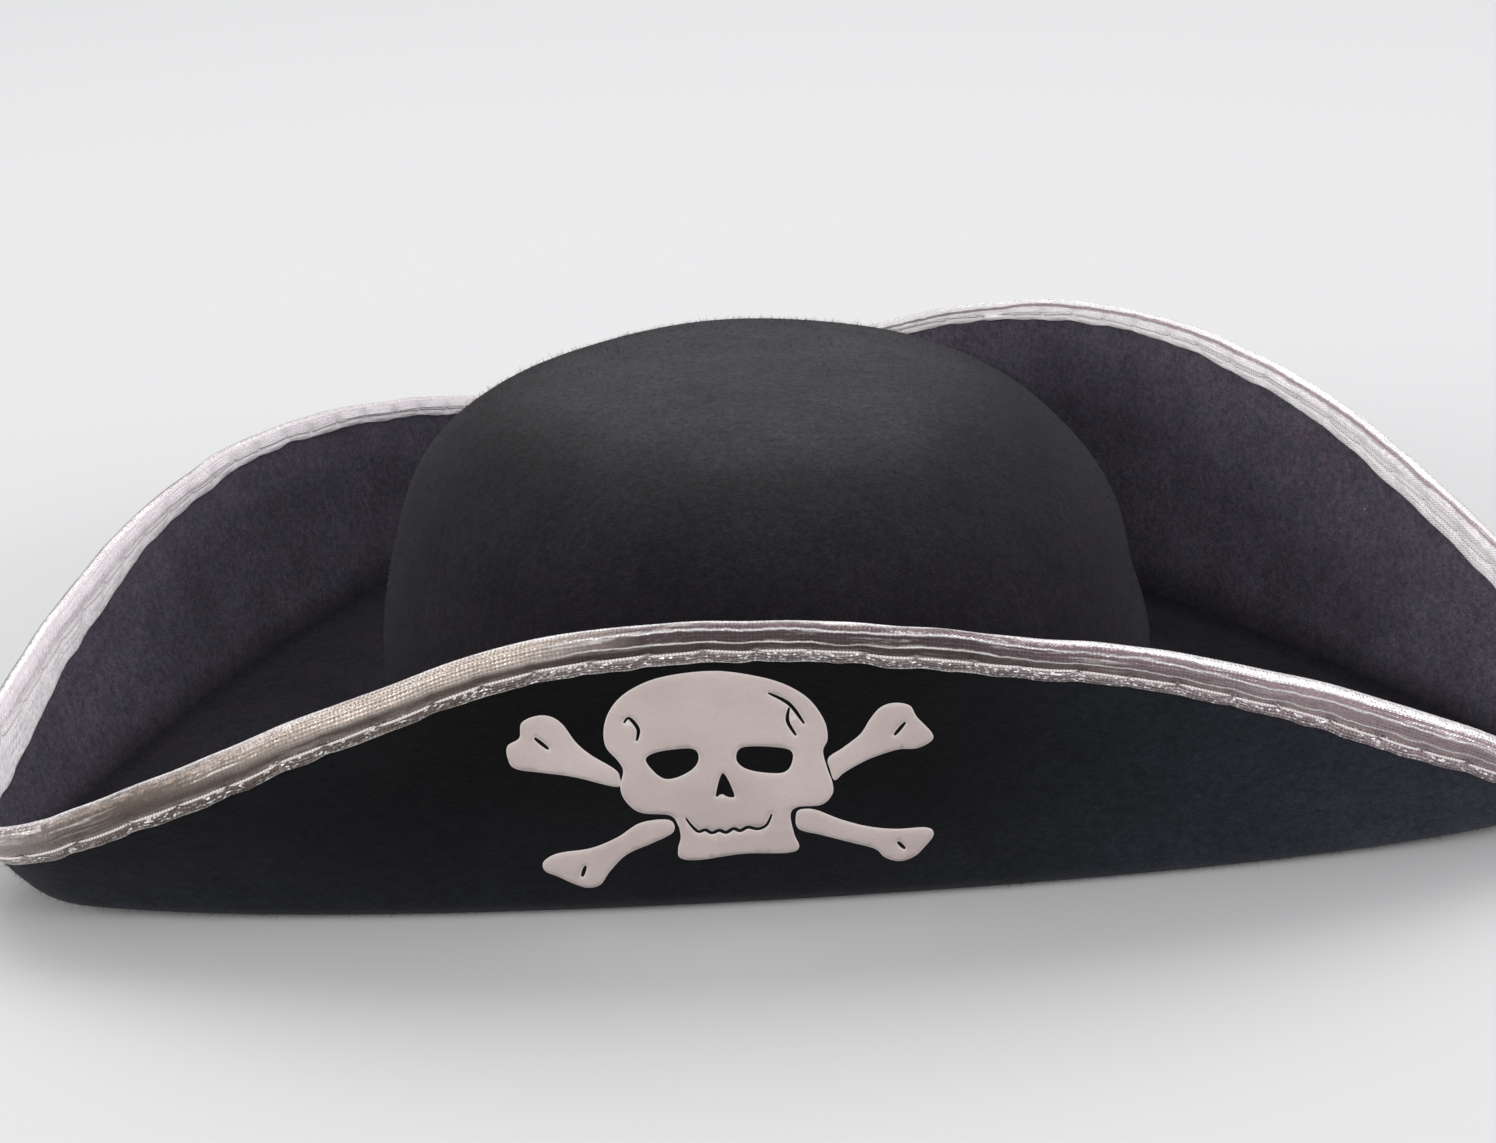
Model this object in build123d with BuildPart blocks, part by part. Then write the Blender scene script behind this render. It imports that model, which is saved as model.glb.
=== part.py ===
"""Three-cornered felt pirate hat: crown, brim, turned-up flaps, binding, transfer and lining.

Millimetres, +Z up, the front flap faces -Y. Everything is laid out about the middle of the
crown and moved at the end so that the origin is the bottom centre of the hat's own box.
"""

import os
from math import asin, cos, pi, radians, sin, sqrt, tan

from build123d import *

# Felt
FELT = 2.2

# Crown: a full dome over an oval plan
CROWN_HALF_WIDTH = 91.5
CROWN_HALF_DEPTH = 99.0
CROWN_HEIGHT = 82.6
CROWN_FULLNESS = 3.2
CROWN_Y = 20.0

# Brim: three bulging sides that meet at three points
LEFT_CORNER = (-175.0, -78.0)
RIGHT_CORNER = (184.0, -77.5)
BACK_CORNER = (-22.0, 190.0)
CORNER_RADIUS = 20.0
RIM_HEIGHT = 5.0
RIM_TAPER = 16.0
FOLD_RADIUS = 4.6

# Turned-up sides: flaps that flex, and the pinched points between them
HINGE_GAP = 2.2
FLAP_END = 0.80
END_GAP = 1.2
POINT_HEIGHT = 20.0
POINT_LEAN = 38.0
FLAP_STATIONS = 9

# Silver binding folded over the edge
BINDING_OUTSIDE = 9.5
BINDING_INSIDE = 7.5
BINDING_THICK = 0.5
BINDING_CHAMFER = 0.6
CLOTH_GAP = 0.1
POINT_CLOTH_GAP = 0.3

# Binding seam
STITCH_PITCH = 10.6
STITCH_LENGTH = 9.4
STITCH_RADIUS = 0.35
SEAM_OUTSIDE = 6.2
SEAM_INSIDE = 4.8

# Transfer print on the front flap
FILM_THICK = 0.35
FILM_X = -17.2
FILM_Z = 34.0
FILM_TILT = -2.5
FILM_WIDEN = 0.967
FILM_HEIGHTEN = 1.033

# Sweatband and care label
SWEATBAND_HEIGHT = 28.0
SWEATBAND_THICK = 0.9
SWEATBAND_STITCHES = 48
LABEL_SIZE = (22.0, 0.4, 18.0)

# The bottom centre of the whole hat's box
ORIGIN = (2.9, 40.3)

HINGE_Z = RIM_HEIGHT + HINGE_GAP
SPREAD = tan(radians(RIM_TAPER))


class Side:
    """One side of the brim, corner to corner, anticlockwise seen from above."""

    def __init__(self, start, end, bulge, height, lean, peak):
        self.start, self.end = Vector(*start), Vector(*end)
        self.along = (self.end - self.start).normalized()
        self.out = Vector(self.along.Y, -self.along.X, 0)
        self.middle = (self.start + self.end) * 0.5
        self.half = (self.end - self.start).length / 2
        self.bulge, self.height, self.lean, self.peak = bulge, height, lean, peak
        self.radius = (self.half**2 + bulge**2) / (2 * bulge)

    def bow(self, x):
        """How far the fold stands out from the straight line between its corners."""
        return sqrt(self.radius**2 - x**2) - (self.radius - self.bulge)

    def rise(self, x):
        """Length of cloth above the hinge gap, measured up the flap."""
        u = x / self.half
        u += self.peak * (1 - u**2)
        whole = POINT_HEIGHT + (self.height - POINT_HEIGHT) * (1 - u**2) ** 1.28
        return whole - HINGE_Z / cos(radians(RIM_TAPER))

    def lean_at(self, x):
        """Outward lean in radians, most at the corners."""
        fade = (x / self.half) ** 4
        return radians(self.lean + (POINT_LEAN - self.lean) * fade)

    def plane(self, x):
        """Upright section plane: local X points outwards, local Y points up."""
        return Plane(self.middle + self.along * x, x_dir=self.out, z_dir=-self.along)

    def local(self, x, up, inward):
        """Section point at a distance up the flap and inwards from its outer face."""
        lean = self.lean_at(x)
        outward = self.bow(x) + HINGE_Z * SPREAD + up * sin(lean) - inward * cos(lean)
        return (outward, HINGE_Z + up * cos(lean) + inward * sin(lean))

    def point(self, x, up, inward):
        """The same point in the hat's own frame."""
        outward, height = self.local(x, up, inward)
        return self.middle + self.along * x + self.out * outward + Vector(0, 0, height)

    def stations(self, low, high, count):
        """Evenly spaced positions along the side."""
        return [low + (high - low) * i / (count - 1) for i in range(count)]


class Corner:
    """The pinched corner where one side ends and the next begins."""

    def __init__(self, before, after):
        self.before, self.after = before, after
        turn = before.along.get_angle(after.along)
        swell = sum(asin(side.half / side.radius) for side in (before, after))
        half_angle = (pi - radians(turn) + swell) / 2
        self.cut_back = CORNER_RADIUS * (1 / sin(half_angle) - 1)
        out = (before.out + after.out).normalized()
        along = (before.along + after.along).normalized()
        self.plane = Plane(before.end, x_dir=out, z_dir=-along)

    def local(self, up, inward):
        """Section point across the corner, laid out as on a side."""
        lean = radians(POINT_LEAN)
        outward = HINGE_Z * SPREAD - self.cut_back + up * sin(lean) - inward * cos(lean)
        return (outward, HINGE_Z + up * cos(lean) + inward * sin(lean))

    def rise(self):
        """Length of cloth above the rim at the very corner."""
        return POINT_HEIGHT - HINGE_Z / cos(radians(RIM_TAPER))


FRONT = Side(LEFT_CORNER, RIGHT_CORNER, bulge=15.0, height=75.0, lean=15.7, peak=0.10)
RIGHT = Side(RIGHT_CORNER, BACK_CORNER, bulge=21.5, height=74.5, lean=5.5, peak=0.01)
LEFT = Side(BACK_CORNER, LEFT_CORNER, bulge=22.0, height=53.0, lean=14.4, peak=-0.03)
SIDES = {"front": FRONT, "right": RIGHT, "left": LEFT}
CORNERS = {
    "right": Corner(FRONT, RIGHT),
    "back": Corner(RIGHT, LEFT),
    "left": Corner(LEFT, FRONT),
}


def felt_section(place, foot, rise):
    """Closed outline of the cloth from its foot up to its edge."""
    return [place(foot, 0), place(rise, 0), place(rise, FELT), place(foot, FELT)]


def binding_section(place, rise, gap=CLOTH_GAP):
    """Closed outline of the ribbon folded over the cloth's edge."""
    low, low_inside = rise - BINDING_OUTSIDE, rise - BINDING_INSIDE
    out = gap + BINDING_THICK
    top, cut = rise + out, BINDING_CHAMFER
    return [
        place(low, -out),
        place(top - cut, -out),
        place(top, -out + cut),
        place(top, FELT + out - cut),
        place(top - cut, FELT + out),
        place(low_inside, FELT + out),
        place(low_inside, FELT + gap),
        place(rise + gap, FELT + gap),
        place(rise + gap, -gap),
        place(low, -gap),
    ]


def face_on(plane, outline):
    """A closed straight-sided outline as a face on the given plane."""
    with BuildSketch(plane) as section:
        with BuildLine():
            Polyline(*outline, close=True)
        make_face()
    return section.sketch


def flap_range(side):
    """Half length of the part of a side that flexes."""
    return side.half * FLAP_END


def build_flap(side):
    """Felt flap between its two points."""
    reach = flap_range(side)
    sections = []
    for x in side.stations(-reach, reach, FLAP_STATIONS):
        outline = felt_section(lambda s, w: side.local(x, s, w), 0, side.rise(x))
        sections.append(face_on(side.plane(x), outline))
    with BuildPart() as flap:
        loft(sections)
    return flap


def build_flap_binding(side):
    """Ribbon over the flap's edge."""
    reach = flap_range(side)
    sections = []
    for x in side.stations(-reach, reach, FLAP_STATIONS):
        outline = binding_section(lambda s, w: side.local(x, s, w), side.rise(x))
        sections.append(face_on(side.plane(x), outline))
    with BuildPart() as binding:
        loft(sections)
    return binding


def corner_stations(corner):
    """Section planes round a corner, with the place function and rise at each."""
    found = []
    for side, sign in ((corner.before, 1), (corner.after, -1)):
        reach = sign * (flap_range(side) + END_GAP)
        for share in (0.0, 0.5):
            x = reach + (sign * side.half * 0.93 - reach) * share
            found.append((side.plane(x), lambda s, w, d=side, p=x: d.local(p, s, w), side.rise(x)))
    first, second, fourth, third = found
    return [first, second, (corner.plane, corner.local, corner.rise()), third, fourth]


def build_point(corner):
    """Felt of a pinched corner, standing on the brim's rim."""
    foot = CLOTH_GAP - HINGE_GAP
    sections = []
    for plane, place, rise in corner_stations(corner):
        sections.append(face_on(plane, felt_section(place, foot, rise)))
    with BuildPart() as point:
        loft(sections)
    return point


def build_point_binding(corner):
    """Ribbon round a pinched corner."""
    sections = []
    for plane, place, rise in corner_stations(corner):
        sections.append(face_on(plane, binding_section(place, rise, POINT_CLOTH_GAP)))
    with BuildPart() as binding:
        loft(sections)
    return binding


def build_stitches(side):
    """Thread runs on both faces of the ribbon, one length of thread to a solid."""
    reach = flap_range(side) - STITCH_LENGTH
    count = int(reach // STITCH_PITCH)
    stand_off = CLOTH_GAP + BINDING_THICK + STITCH_RADIUS + 0.05
    with BuildPart() as stitches:
        for i in range(-count, count + 1):
            low, high = i * STITCH_PITCH - STITCH_LENGTH / 2, i * STITCH_PITCH + STITCH_LENGTH / 2
            for drop, depth in ((SEAM_OUTSIDE, -stand_off), (SEAM_INSIDE, FELT + stand_off)):
                first = side.point(low, side.rise(low) - drop, depth)
                last = side.point(high, side.rise(high) - drop, depth)
                with Locations(Plane((first + last) * 0.5, z_dir=last - first)):
                    Cylinder(STITCH_RADIUS, (last - first).length)
    return stitches


def dome(half_width, height, foot):
    """Points up a full, superelliptic dome profile in the XZ plane."""
    found = []
    for i in range(13):
        turn = i / 12 * pi / 2
        power = 2 / CROWN_FULLNESS
        found.append((half_width * cos(turn) ** power, foot + (height - foot) * sin(turn) ** power))
    found[-1] = (0.0, height)
    return found


def build_crown():
    """Dome shell standing on the brim's ledge."""
    with BuildPart() as crown:
        with BuildSketch(Plane.XZ):
            with BuildLine():
                outer = Spline(
                    *dome(CROWN_HALF_WIDTH, CROWN_HEIGHT, FELT), tangents=[(0, 1), (-1, 0)]
                )
                inner = Spline(
                    *dome(CROWN_HALF_WIDTH - FELT, CROWN_HEIGHT - FELT, FELT),
                    tangents=[(0, 1), (-1, 0)],
                )
                Line(outer @ 0, inner @ 0)
                Line(outer @ 1, inner @ 1)
            make_face()
        revolve(axis=Axis.Z)
        scale(by=(1, CROWN_HALF_DEPTH / CROWN_HALF_WIDTH, 1))
    return crown


def brim_outline(height, spread):
    """Three bulging sides with rounded corners, grown by the spread, at the given height."""
    with BuildSketch(Plane.XY.offset(height)) as outline:
        with BuildLine():
            for side in (FRONT, RIGHT, LEFT):
                ThreePointArc(side.start, side.middle + side.out * side.bulge, side.end)
        make_face()
        offset(amount=spread, kind=Kind.INTERSECTION)
        fillet(outline.vertices(), radius=CORNER_RADIUS + spread)
    return outline.sketch


def build_brim():
    """Flat ledge round the crown with the start of the fold as an upturned rim."""
    ratio = CROWN_HALF_DEPTH / CROWN_HALF_WIDTH
    spread = RIM_HEIGHT * SPREAD
    with BuildPart() as inside:
        extrude(brim_outline(FELT, spread - FELT), amount=RIM_HEIGHT)
        fillet(inside.faces().sort_by(Axis.Z)[0].edges(), radius=FOLD_RADIUS - FELT)
    with BuildPart() as brim:
        extrude(brim_outline(0, spread), amount=RIM_HEIGHT)
        fillet(brim.faces().sort_by(Axis.Z)[0].edges(), radius=FOLD_RADIUS)
        add(inside.part, mode=Mode.SUBTRACT)
        with BuildSketch():
            with Locations((0, CROWN_Y)):
                Ellipse(CROWN_HALF_WIDTH - FELT, (CROWN_HALF_WIDTH - FELT) * ratio)
        extrude(amount=RIM_HEIGHT, mode=Mode.SUBTRACT)
    return brim


BAND_OUTER = (CROWN_HALF_WIDTH - FELT - 0.9, CROWN_HALF_DEPTH - FELT * 1.14 - 1.0)
BAND_INNER = (BAND_OUTER[0] - SWEATBAND_THICK, BAND_OUTER[1] - SWEATBAND_THICK)


def build_sweatband():
    """Ribbon lining the head opening."""
    with BuildPart() as sweatband:
        with BuildSketch(Plane.XY.offset(0.6)):
            Ellipse(*BAND_OUTER)
            Ellipse(*BAND_INNER, mode=Mode.SUBTRACT)
        extrude(amount=SWEATBAND_HEIGHT)
    return sweatband


def build_sweatband_stitches():
    """Running stitch near the sweatband's lower edge, on its inner face."""
    with BuildPart() as stitches:
        for i in range(SWEATBAND_STITCHES):
            turn = 2 * pi * i / SWEATBAND_STITCHES
            reach = (BAND_INNER[0] - STITCH_RADIUS - 0.15, BAND_INNER[1] - STITCH_RADIUS - 0.15)
            spot = Vector(reach[0] * cos(turn), reach[1] * sin(turn), 4.0)
            run = Vector(-reach[0] * sin(turn), reach[1] * cos(turn), 0)
            with Locations(Plane(spot, z_dir=run)):
                Cylinder(STITCH_RADIUS, 5.0)
    return stitches


def build_label():
    """Blank woven label sewn to the sweatband at the back."""
    with BuildPart() as label:
        with Locations((0, BAND_INNER[1] - 1.2, 15.0)):
            Box(*LABEL_SIZE)
    return label


SKULL = [
    (-4, 26), (3, 25.6), (13, 24.4), (18.5, 21), (21.5, 15), (22, 10), (21, 7), (22, 3),
    (23, -1), (23, -3.5), (21, -6), (16, -6.5), (14.5, -8.5), (15.5, -13.5), (16.5, -17),
    (14.5, -18.5), (6, -18.5), (-4, -20), (-8, -19.5), (-8.5, -17), (-8, -14), (-8.7, -10.5),
    (-10.5, -8.2), (-16.5, -7.5), (-19.5, -4.5), (-20.5, -1), (-20, 3), (-21, 5.5), (-23.5, 9),
    (-24, 14), (-22.5, 19), (-19.5, 22.5), (-14.5, 25.5),
]
LEFT_EYE = [(-15.5, 6), (-12.5, 7.7), (-6, 8.2), (-4.5, 6), (-5.5, 3.5), (-8.5, 1.5), (-11.5, 1), (-14, 3)]
RIGHT_EYE = [(3.5, 6), (4.2, 8), (10, 8), (15, 7), (14.7, 3.5), (13.2, 1.5), (9, 2), (5, 3.2)]
NOSE = [(0.6, 2.2), (-0.8, -3.5), (0.5, -3), (1.7, -3.7), (3.2, -3.4)]
BONES = {
    "upper_left_bone": [
        (-22, 3.5), (-27, 7), (-30, 10), (-32.5, 14), (-35, 16), (-38, 16.2), (-41, 14.5),
        (-41.5, 11), (-44, 9), (-44, 6), (-42.5, 3.7), (-37, 2.7), (-30, 1.7), (-22.2, -0.3),
    ],
    "upper_right_bone": [
        (22.8, 6.2), (26, 8.7), (29.3, 12), (31, 15.7), (33, 18.7), (36, 19.7), (39, 18.7),
        (40.7, 16), (44, 12), (44, 10), (41, 8.2), (37, 8), (31, 5.7), (26, 2.7), (24, 1.7),
    ],
    "lower_left_bone": [
        (-10.5, -9.5), (-16.5, -10.2), (-21.5, -14), (-27, -16.7), (-33, -17.7), (-35.5, -19),
        (-37, -21), (-36, -23), (-33, -24.7), (-30, -26.5), (-27, -27), (-24.7, -25.7),
        (-23, -22.7), (-19.5, -18.5), (-14.5, -15.2), (-9.8, -12),
    ],
    "lower_right_bone": [
        (16.3, -8), (18, -7.2), (20, -7.6), (25, -10.2), (30, -12), (36, -13), (42.5, -12.7),
        (44, -14.5), (42.5, -17.7), (41, -20), (38, -21), (35, -19.7), (33, -17.2),
        (28, -15.5), (21, -13.2), (16.8, -12),
    ],
}


def film_section(place, rise):
    """Thin skin lying on the flap's outer face."""
    low, high = -CLOTH_GAP, -CLOTH_GAP - FILM_THICK
    return [place(0.8, high), place(rise, high), place(rise, low), place(0.8, low)]


def build_film(outline, holes=()):
    """One island of the print, curved to the front flap."""
    middle = FILM_X - FRONT.middle.X
    sections = []
    for x in FRONT.stations(middle - 50, middle + 50, 5):
        skin = film_section(lambda s, w: FRONT.local(x, s, w), FRONT.rise(x))
        sections.append(face_on(FRONT.plane(x), skin))
    with BuildPart() as film:
        loft(sections)
        with BuildSketch(Plane.XZ.offset(110)):
            for shape, mode in [(outline, Mode.ADD)] + [(hole, Mode.SUBTRACT) for hole in holes]:
                points = [(x * FILM_WIDEN, z * FILM_HEIGHTEN) for x, z in shape]
                with BuildLine(Location((FILM_X, FILM_Z), FILM_TILT)):
                    Spline(*points, periodic=True)
                make_face(mode=mode)
        extrude(amount=50, both=True, mode=Mode.INTERSECT)
    return film


def main():
    """Builds every piece, moves it to the hat's own origin and writes it out."""
    head_pieces = {
        "crown": build_crown(),
        "sweatband": build_sweatband(),
        "sweatband_stitches": build_sweatband_stitches(),
        "care_label": build_label(),
    }
    pieces = {"brim": build_brim(), "skull": build_film(SKULL, (LEFT_EYE, RIGHT_EYE, NOSE))}
    for name, outline in BONES.items():
        pieces[name] = build_film(outline)
    for name, side in SIDES.items():
        pieces[f"{name}_flap"] = build_flap(side)
        pieces[f"{name}_binding"] = build_flap_binding(side)
        pieces[f"{name}_binding_stitches"] = build_stitches(side)
    for name, corner in CORNERS.items():
        pieces[f"{name}_point"] = build_point(corner)
        pieces[f"{name}_point_binding"] = build_point_binding(corner)
    os.makedirs("parts", exist_ok=True)
    for group, back in ((pieces, 0), (head_pieces, CROWN_Y)):
        for name, piece in group.items():
            placed = Pos(-ORIGIN[0], back - ORIGIN[1], 0) * piece.part
            placed.label = name
            export_step(placed, f"parts/{name}.step")


main()
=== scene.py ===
"""Three-cornered felt pirate hat: the looks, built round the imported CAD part.

Shapes are laid out in millimetres in the row frame and turned to metres as they become meshes.
"""

from math import cos, pi, radians, sin, tan

import bpy
import numpy as np
from mathutils import Matrix, Vector
from mathutils.geometry import delaunay_2d_cdt


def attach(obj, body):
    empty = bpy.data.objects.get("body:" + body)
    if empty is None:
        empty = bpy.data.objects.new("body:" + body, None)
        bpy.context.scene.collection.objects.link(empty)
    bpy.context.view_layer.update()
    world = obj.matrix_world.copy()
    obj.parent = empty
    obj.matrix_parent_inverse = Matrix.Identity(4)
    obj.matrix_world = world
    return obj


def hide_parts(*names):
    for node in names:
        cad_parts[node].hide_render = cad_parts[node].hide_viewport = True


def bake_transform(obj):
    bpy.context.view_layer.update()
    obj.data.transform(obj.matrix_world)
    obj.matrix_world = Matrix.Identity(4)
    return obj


rng = np.random.default_rng(11)
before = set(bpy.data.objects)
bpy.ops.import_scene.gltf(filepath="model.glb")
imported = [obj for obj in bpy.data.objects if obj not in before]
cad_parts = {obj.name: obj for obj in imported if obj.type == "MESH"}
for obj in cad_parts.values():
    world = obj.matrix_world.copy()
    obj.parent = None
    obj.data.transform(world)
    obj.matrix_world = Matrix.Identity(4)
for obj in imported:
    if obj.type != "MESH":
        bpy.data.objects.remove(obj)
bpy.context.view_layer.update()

# The hat's own dimensions, as in the CAD source
ORIGIN = np.array((2.9, 40.3))
FELT = 2.2
CROWN_HALF = np.array((91.5, 99.0))
CROWN_HEIGHT = 82.6
CROWN_FULLNESS = 3.2
CROWN_CENTRE = np.array((0.0, 20.0)) - ORIGIN
LEFT_CORNER = np.array((-175.0, -78.0)) - ORIGIN
RIGHT_CORNER = np.array((184.0, -77.5)) - ORIGIN
BACK_CORNER = np.array((-22.0, 190.0)) - ORIGIN
CORNER_RADIUS = 20.0
RIM_TAPER = 16.0
FOLD_RADIUS = 6.5
HINGE_Z = 7.2
POINT_HEIGHT = 20.0
POINT_LEAN = 38.0
SPREAD = tan(radians(RIM_TAPER))
BINDING_OUTSIDE = 9.2
PRINT_X, PRINT_Z, PRINT_TILT = -17.0, 34.5, -2.5
PRINT_SCALE = (0.967, 1.033)

# How far the fold lifts off the table at each point
LIFT = {"left": 4.8, "right": 6.1, "back": 5.0}

# Points round the brim, and rows of points along each part of the felt's section
STATIONS = 1080
CROWN_ROWS = 34
LEDGE_ROWS = 5
FOLD_ROWS = 6
FLAP_ROWS = 26
ARC_POINTS = 4000
ROUNDING_POINTS = 600
# How full the sides' upper edge stays towards the points
EDGE_POWER = 1.28
# Radius of the fillet at the crown's foot
FILLET = 6.0


# ---- the ring round the brim
class Side:
    """One bulging side of the brim, corner to corner, anticlockwise seen from above.

    lifts: how far the fold lifts at the start and the end.
    inside: the ribbon's width on the inner face, at places from -1 at the start to 1 at the end.
    """

    def __init__(self, name, start, end, bulge, height, lean, peak, lifts, inside):
        self.name, self.start, self.end = name, start, end
        self.length = np.linalg.norm(end - start)
        self.along = (end - start) / self.length
        self.out = np.array((self.along[1], -self.along[0]))
        self.half = self.length / 2
        self.middle = (start + end) / 2
        self.radius = (self.half**2 + bulge**2) / (2 * bulge)
        self.centre = self.middle - self.out * (self.radius - bulge)
        self.height, self.lean, self.peak = height, lean, peak
        self.lifts, self.inside = lifts, inside

    def chord(self, points):
        """Distance along the side from its middle."""
        return (points - self.middle) @ self.along

    def rise(self, u):
        """Length of cloth above the hinge height."""
        u = u + self.peak * (1 - u**2)
        whole = POINT_HEIGHT + (self.height - POINT_HEIGHT) * np.clip(1 - u**2, 0, 1) ** EDGE_POWER
        return whole - HINGE_Z / cos(radians(RIM_TAPER))

    def lean_at(self, u):
        """How far the cloth leans outwards, in radians."""
        return np.radians(self.lean + (POINT_LEAN - self.lean) * u**4)

    def lift_at(self, u):
        """How far the fold lifts off the table."""
        return np.where(u < 0, self.lifts[0], self.lifts[1]) * np.abs(u) ** 6


SIDES = [
    Side("front", LEFT_CORNER, RIGHT_CORNER, 15.0, 74.4, 15.7, 0.085,
         (LIFT["left"], LIFT["right"]), ((-1, 9.0), (1, 8.0))),
    Side("right", RIGHT_CORNER, BACK_CORNER, 21.5, 74.6, 5.5, 0.01,
         (LIFT["right"], LIFT["back"]),
         ((-1, 10.8), (-0.62, 8.2), (-0.35, 6.2), (0.0, 3.9), (1, 3.9))),
    Side("left", BACK_CORNER, LEFT_CORNER, 22.0, 53.2, 14.4, -0.03,
         (LIFT["back"], LIFT["left"]),
         ((-1, 4.2), (-0.1, 4.0), (0.2, 5.2), (0.5, 9.2), (0.75, 11.8), (1, 12.5))),
]


def corner_circle(before_side, after_side):
    """Centre of the rounding where one side ends and the next begins."""
    a, b = before_side.centre, after_side.centre
    ra, rb = before_side.radius - CORNER_RADIUS, after_side.radius - CORNER_RADIUS
    d = np.linalg.norm(b - a)
    along = (b - a) / d
    t = (d * d + ra * ra - rb * rb) / (2 * d)
    off = np.array((-along[1], along[0])) * np.sqrt(ra * ra - t * t)
    near = before_side.end
    return min((a + along * t + off, a + along * t - off), key=lambda p: np.linalg.norm(p - near))


def sweep(centre, radius, first, last, count):
    """Points anticlockwise on a circle from one point to another, the last left out, with normals."""
    a0 = np.arctan2(*(first - centre)[::-1])
    a1 = np.arctan2(*(last - centre)[::-1])
    a1 += 2 * pi * (a1 < a0)
    turn = a0 + (a1 - a0) * np.arange(count) / count
    out = np.stack((np.cos(turn), np.sin(turn)), 1)
    return centre + out * radius, out


def touch(side, corner):
    """Where a side's arc meets the rounding about a corner's centre."""
    toward = corner - side.centre
    return side.centre + toward / np.linalg.norm(toward) * side.radius


def build_ring():
    """The fold line round the brim: points, outward normals and what is known at each station."""
    points, outs, side_at, u_at = [], [], [], []
    for k, side in enumerate(SIDES):
        nxt, prev = SIDES[(k + 1) % 3], SIDES[k - 1]
        c_prev, c_next = corner_circle(prev, side), corner_circle(side, nxt)
        first, last, after = touch(side, c_prev), touch(side, c_next), touch(nxt, c_next)
        arc, arc_out = sweep(side.centre, side.radius, first, last, ARC_POINTS)
        side_at.append(np.full(len(arc), k))
        u_at.append(side.chord(arc) / side.half)
        rounding, rounding_out = sweep(c_next, CORNER_RADIUS, last, after, ROUNDING_POINTS)
        points += [arc, rounding]
        outs += [arc_out, rounding_out]
        share = np.arange(ROUNDING_POINTS) / ROUNDING_POINTS
        u_last = side.chord(last[None])[0] / side.half
        u_after = nxt.chord(after[None])[0] / nxt.half
        side_at.append(np.where(share < 0.5, k, (k + 1) % 3))
        u_at.append(np.where(share < 0.5, u_last + (1 - u_last) * share * 2,
                             -1 + (u_after + 1) * (share * 2 - 1)))
    points, outs = np.concatenate(points), np.concatenate(outs)
    side_at, u_at = np.concatenate(side_at), np.concatenate(u_at)
    step = np.linalg.norm(np.roll(points, -1, 0) - points, axis=1)
    run = np.concatenate(([0], np.cumsum(step)))
    length = run[-1]
    at = np.arange(STATIONS) * length / STATIONS
    pick = np.clip(np.searchsorted(run, at), 0, len(points) - 1)
    return points[pick], outs[pick], side_at[pick], u_at[pick], at, length


def smooth(values, width):
    """Rounds off kinks along the ring; width is in stations."""
    reach = int(width * 3) + 1
    kernel = np.exp(-0.5 * (np.arange(-reach, reach + 1) / width) ** 2)
    padded = np.concatenate((values[-reach:], values, values[:reach]))
    return np.convolve(padded, kernel / kernel.sum(), "valid")


def hump(values, centre, width):
    """1 at the centre, falling away smoothly on both sides of it."""
    return np.exp(-(((values - centre) / width) ** 2))


RING, OUT, SIDE_AT, U_AT, RUN, ROUND = build_ring()


def per_side(function):
    """What a function of the side and the place along it gives at every station."""
    return np.choose(SIDE_AT, [function(side, U_AT) for side in SIDES])


RISE = smooth(per_side(lambda side, u: side.rise(u)), 3)
LEAN = smooth(per_side(lambda side, u: side.lean_at(u)), 4)
LIFTS = smooth(per_side(lambda side, u: side.lift_at(u)), 4)
INSIDE = smooth(per_side(lambda side, u: np.interp(u, *zip(*side.inside))), 14)
front_outside = np.interp(U_AT, (-1, -0.7, -0.45, -0.12, 0.3, 0.5, 0.65, 0.85, 1),
                          (9.6, 10.2, 9.2, 7.7, 8.2, 9.4, 10.9, 10.6, 9.0))
OUTSIDE = smooth(np.where(SIDE_AT == 0, front_outside, BINDING_OUTSIDE), 14)
# The worn hat is lower at its right point, dips a little near its left one and is fuller between
drop_front = -7.0 * np.clip((U_AT - 0.6) / 0.28, 0, 1) ** 3 - 0.4 * np.clip(-U_AT / 0.3, 0, 1)
for size, at, width in ((-1.4, -0.66, 0.13), (2.0, -0.32, 0.15), (-1.6, 0.2, 0.15),
                        (0.8, 0.48, 0.1), (-0.8, 0.65, 0.09), (-2.2, 0.86, 0.12)):
    drop_front += size * hump(U_AT, at, width)
drop_right = -7.0 * np.clip((-U_AT - 0.8) / 0.2, 0, 1) ** 2
RISE = RISE + smooth(np.choose(SIDE_AT, (drop_front, drop_right, np.zeros(STATIONS))), 7)


def ease(value, low, high):
    """0 below the first height, 1 above the second and smooth between."""
    share = min(max((value - low) / (high - low), 0.0), 1.0)
    return share * share * (3 - 2 * share)


def waves(at, terms):
    """A sum of whole waves round the ring: (how many, size, shift)."""
    return sum(size * np.sin(2 * pi * count * at / ROUND + shift) for count, size, shift in terms)


RISE = RISE + waves(RUN, ((23, 0.12, 0.5), (37, 0.08, 1.9), (61, 0.05, 0.3)))
INSIDE = INSIDE + waves(RUN, ((19, 0.2, 1.1), (43, 0.12, 0.2), (71, 0.1, 2.2)))
SWAY = waves(RUN, ((5, 0.35, 0.9), (11, 0.22, 2.4), (17, 0.1, 0.2), (29, 0.05, 1.0)))
SHAKE = waves(RUN, ((41, 0.05, 0.7), (67, 0.04, 2.9)))


def at_ring(values, run):
    """A station array read at any distance round the ring."""
    x = np.mod(run, ROUND) / ROUND * STATIONS
    low = np.floor(x).astype(int) % STATIONS
    part = x - np.floor(x)
    if values.ndim == 2:
        part = part[..., None]
    return values[low] * (1 - part) + values[(low + 1) % STATIONS] * part


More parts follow.
